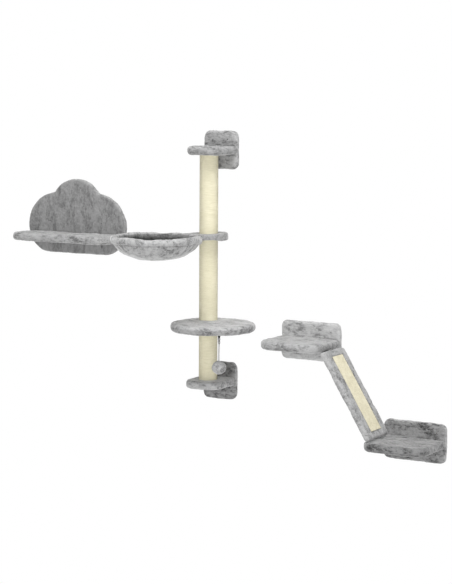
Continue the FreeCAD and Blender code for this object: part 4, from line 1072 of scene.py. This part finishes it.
def mat_finish():
    finish, tree, shader = new_finish("woven sisal mat")
    place = object_place(tree, turn=(0, RAMP_ANGLE, 0))
    fibres = noise(tree, place, scale=650)
    stains = noise(tree, place, scale=30, detail=3.0)
    yarns = noise(tree, place, scale=170, detail=1.0)
    tone = weigh(tree, (fibres, 0.3), (stains, 0.3), (yarns, 0.4))
    colour = ramp_of(tree, tone, (0.32, DARK_MAT), (0.5, PLAIN_MAT), (0.66, PALE_MAT))
    normal = bump_of(tree, tone, strength=0.5, distance=0.0012)
    drive(tree, shader, colour, normal, weigh(tree, (fibres, 0.2), base=0.75), specular=0.2)
    return finish


hand_over(mat, "ramp", mat_finish(), "sisal", "ramp_sisal_pad")

# %% [markdown]
# The rest of the set is hard: chipboard, wound card tubes, zinc-plated steel, black painted
# steel and black plastic. Their solids are already right, so they only get finishes. One
# function with a coarse and a fine noise serves all five, at different scales.

# %% Hard finishes
def grained_finish(name, dark, pale, scale, rough, relief, stretch=(1, 1, 1), metallic=0.0, specular=0.5):
    finish, tree, shader = new_finish(name)
    place = object_place(tree, stretch=stretch)
    grain = noise(tree, place, scale, detail=4.0, distortion=0.4)
    specks = noise(tree, place, scale * 6)
    tone = weigh(tree, (grain, 0.65), (specks, 0.35))
    colour = ramp_of(tree, tone, (0.35, dark), (0.65, pale))
    normal = bump_of(tree, tone, strength=0.3, distance=relief)
    drive(tree, shader, colour, normal, weigh(tree, (specks, 0.25), base=rough), specular)
    shader.inputs["Metallic"].default_value = metallic
    return finish


chipboard = grained_finish("raw chipboard", (0.34, 0.23, 0.12), (0.60, 0.44, 0.26),
                           scale=140, rough=0.65, relief=0.0006)
card = grained_finish("wound card", (0.30, 0.20, 0.11), (0.42, 0.30, 0.17),
                      scale=60, rough=0.7, relief=0.0004, stretch=(1, 1, 6))
zinc = grained_finish("zinc-plated steel", (0.50, 0.50, 0.52), (0.66, 0.66, 0.68),
                      scale=400, rough=0.2, relief=0.0001, stretch=(1, 1, 4), metallic=1.0)
black_paint = grained_finish("black painted steel", (0.012, 0.012, 0.013), (0.028, 0.028, 0.03),
                             scale=500, rough=0.32, relief=0.0002)
black_plastic = grained_finish("black moulded plastic", (0.006, 0.006, 0.006), (0.012, 0.012, 0.012),
                               scale=700, rough=0.55, relief=0.0001, specular=0.15)
print("hard finishes from", chipboard.name, "to", black_plastic.name)

# %% [markdown]
# A solid of the frame is left as it is and only changes what lies in its material slots.

# %% Finishes on the hard solids
HARD_PARTS = (
    (chipboard, ("lower_wall_board", "upper_wall_board", "lower_bracket_board", "upper_bracket_board",
                 "platform_board", "hammock_frame_board", "lounge_back_board", "lounge_seat_board",
                 "lower_shelf_board", "lower_shelf_wall_board", "upper_shelf_board",
                 "upper_shelf_wall_board", "ramp_board", "post_end_plugs")),
    (card, ("lower_post_tube", "middle_post_tube", "upper_post_tube")),
    (zinc, ("post_bolts", "post_studs", "post_washers", "bracket_joining_screws", "shelf_joining_screws",
            "lounge_joining_screws")),
    (black_paint, ("hinge_pin", "hinge_ramp_leaf", "hinge_ramp_screws", "hinge_shelf_leaf",
                   "hinge_shelf_screws", "toy_ring")),
    (black_plastic, ("toy_hook",)),
)
for finish, names in HARD_PARTS:
    for name in names:
        for material_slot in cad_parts[name].material_slots:
            material_slot.material = finish
    print(finish.name, "on", len(names), "solids")

# %% [markdown]
# The set hangs in front of plain white. The floor lies well below the lowest shelf, and both
# floor and surroundings are white to the camera while their light on the plush stays even.
# Two shaders are mixed for that, and the kind of ray chooses between them.

# %% White to the camera
WHITE = (1, 1, 1, 1)


def seen_directly(tree):
    """1 for rays from the camera, from metal and through glass; 0 for light on the object."""
    path = tree.nodes.new("ShaderNodeLightPath")
    seen = calculate(tree, "MAXIMUM", path.outputs["Is Camera Ray"], path.outputs["Is Glossy Ray"])
    return calculate(tree, "MAXIMUM", seen, path.outputs["Is Transmission Ray"])


def white_when_seen(tree, lit, white, surface):
    blend = tree.nodes.new("ShaderNodeMixShader")
    tree.links.new(seen_directly(tree), blend.inputs["Fac"])
    tree.links.new(lit, blend.inputs[1])
    tree.links.new(white, blend.inputs[2])
    tree.links.new(blend.outputs["Shader"], surface)


# %% [markdown]
# The floor is a wide plane. It belongs to the picture and not to the set.

# %% Floor
FLOOR_Z, FLOOR_SIZE = -0.80, 60
FLOOR_GREY = (0.86, 0.86, 0.86, 1)

clear_selection()
bpy.ops.mesh.primitive_plane_add(size=FLOOR_SIZE, location=(0, 0, FLOOR_Z))
floor = finish_start("studio_floor")
floor_finish, floor_tree, floor_shader = new_finish("white studio floor")
floor_shader.inputs["Base Color"].default_value = FLOOR_GREY
floor_shader.inputs["Roughness"].default_value = 0.9
glow = floor_tree.nodes.new("ShaderNodeEmission")
white_when_seen(floor_tree, floor_shader.outputs["BSDF"], glow.outputs["Emission"],
                floor_tree.nodes["Material Output"].inputs["Surface"])
floor.data.materials.append(floor_finish)
print("floor at", FLOOR_Z, "m")

# %% [markdown]
# The surroundings are one even white. The Standard view shows the greys of the finishes as
# they were chosen.

# %% Surroundings
SKY_STRENGTH = 0.42

world = bpy.data.worlds.new("white studio")
bpy.context.scene.world = world
world.use_nodes = True
sky_tree = world.node_tree
soft_sky = sky_tree.nodes["Background"]
soft_sky.inputs["Color"].default_value = WHITE
soft_sky.inputs["Strength"].default_value = SKY_STRENGTH
white_sky = sky_tree.nodes.new("ShaderNodeBackground")
white_sky.inputs["Color"].default_value = WHITE
white_when_seen(sky_tree, soft_sky.outputs["Background"], white_sky.outputs["Background"],
                sky_tree.nodes["World Output"].inputs["Surface"])
bpy.context.scene.view_settings.view_transform = "Standard"
print("light of the surroundings", SKY_STRENGTH)

# %% [markdown]
# A wide soft lamp above and in front makes the tops paler than the fronts, and a weaker one
# beside the camera keeps the front of the posts bright, as in the photograph.

# %% Lamps
def soft_lamp(name, place, aim, side, watts):
    clear_selection()
    bpy.ops.object.light_add(type="AREA", location=place)
    lamp = bpy.context.object
    lamp.name = name
    lamp.data.size = side
    lamp.data.energy = watts
    lamp.rotation_euler = (Vector(aim) - Vector(place)).to_track_quat("-Z", "Y").to_euler()
    print(name, watts, "W")


soft_lamp("overhead_softbox", place=(1.7, -2.3, 7.0), aim=(0.1, -0.2, 0.4), side=4.0, watts=590)
soft_lamp("camera_softbox", place=(2.8, -5.7, 0.8), aim=(0.1, -0.2, 0.3), side=1.5, watts=180)
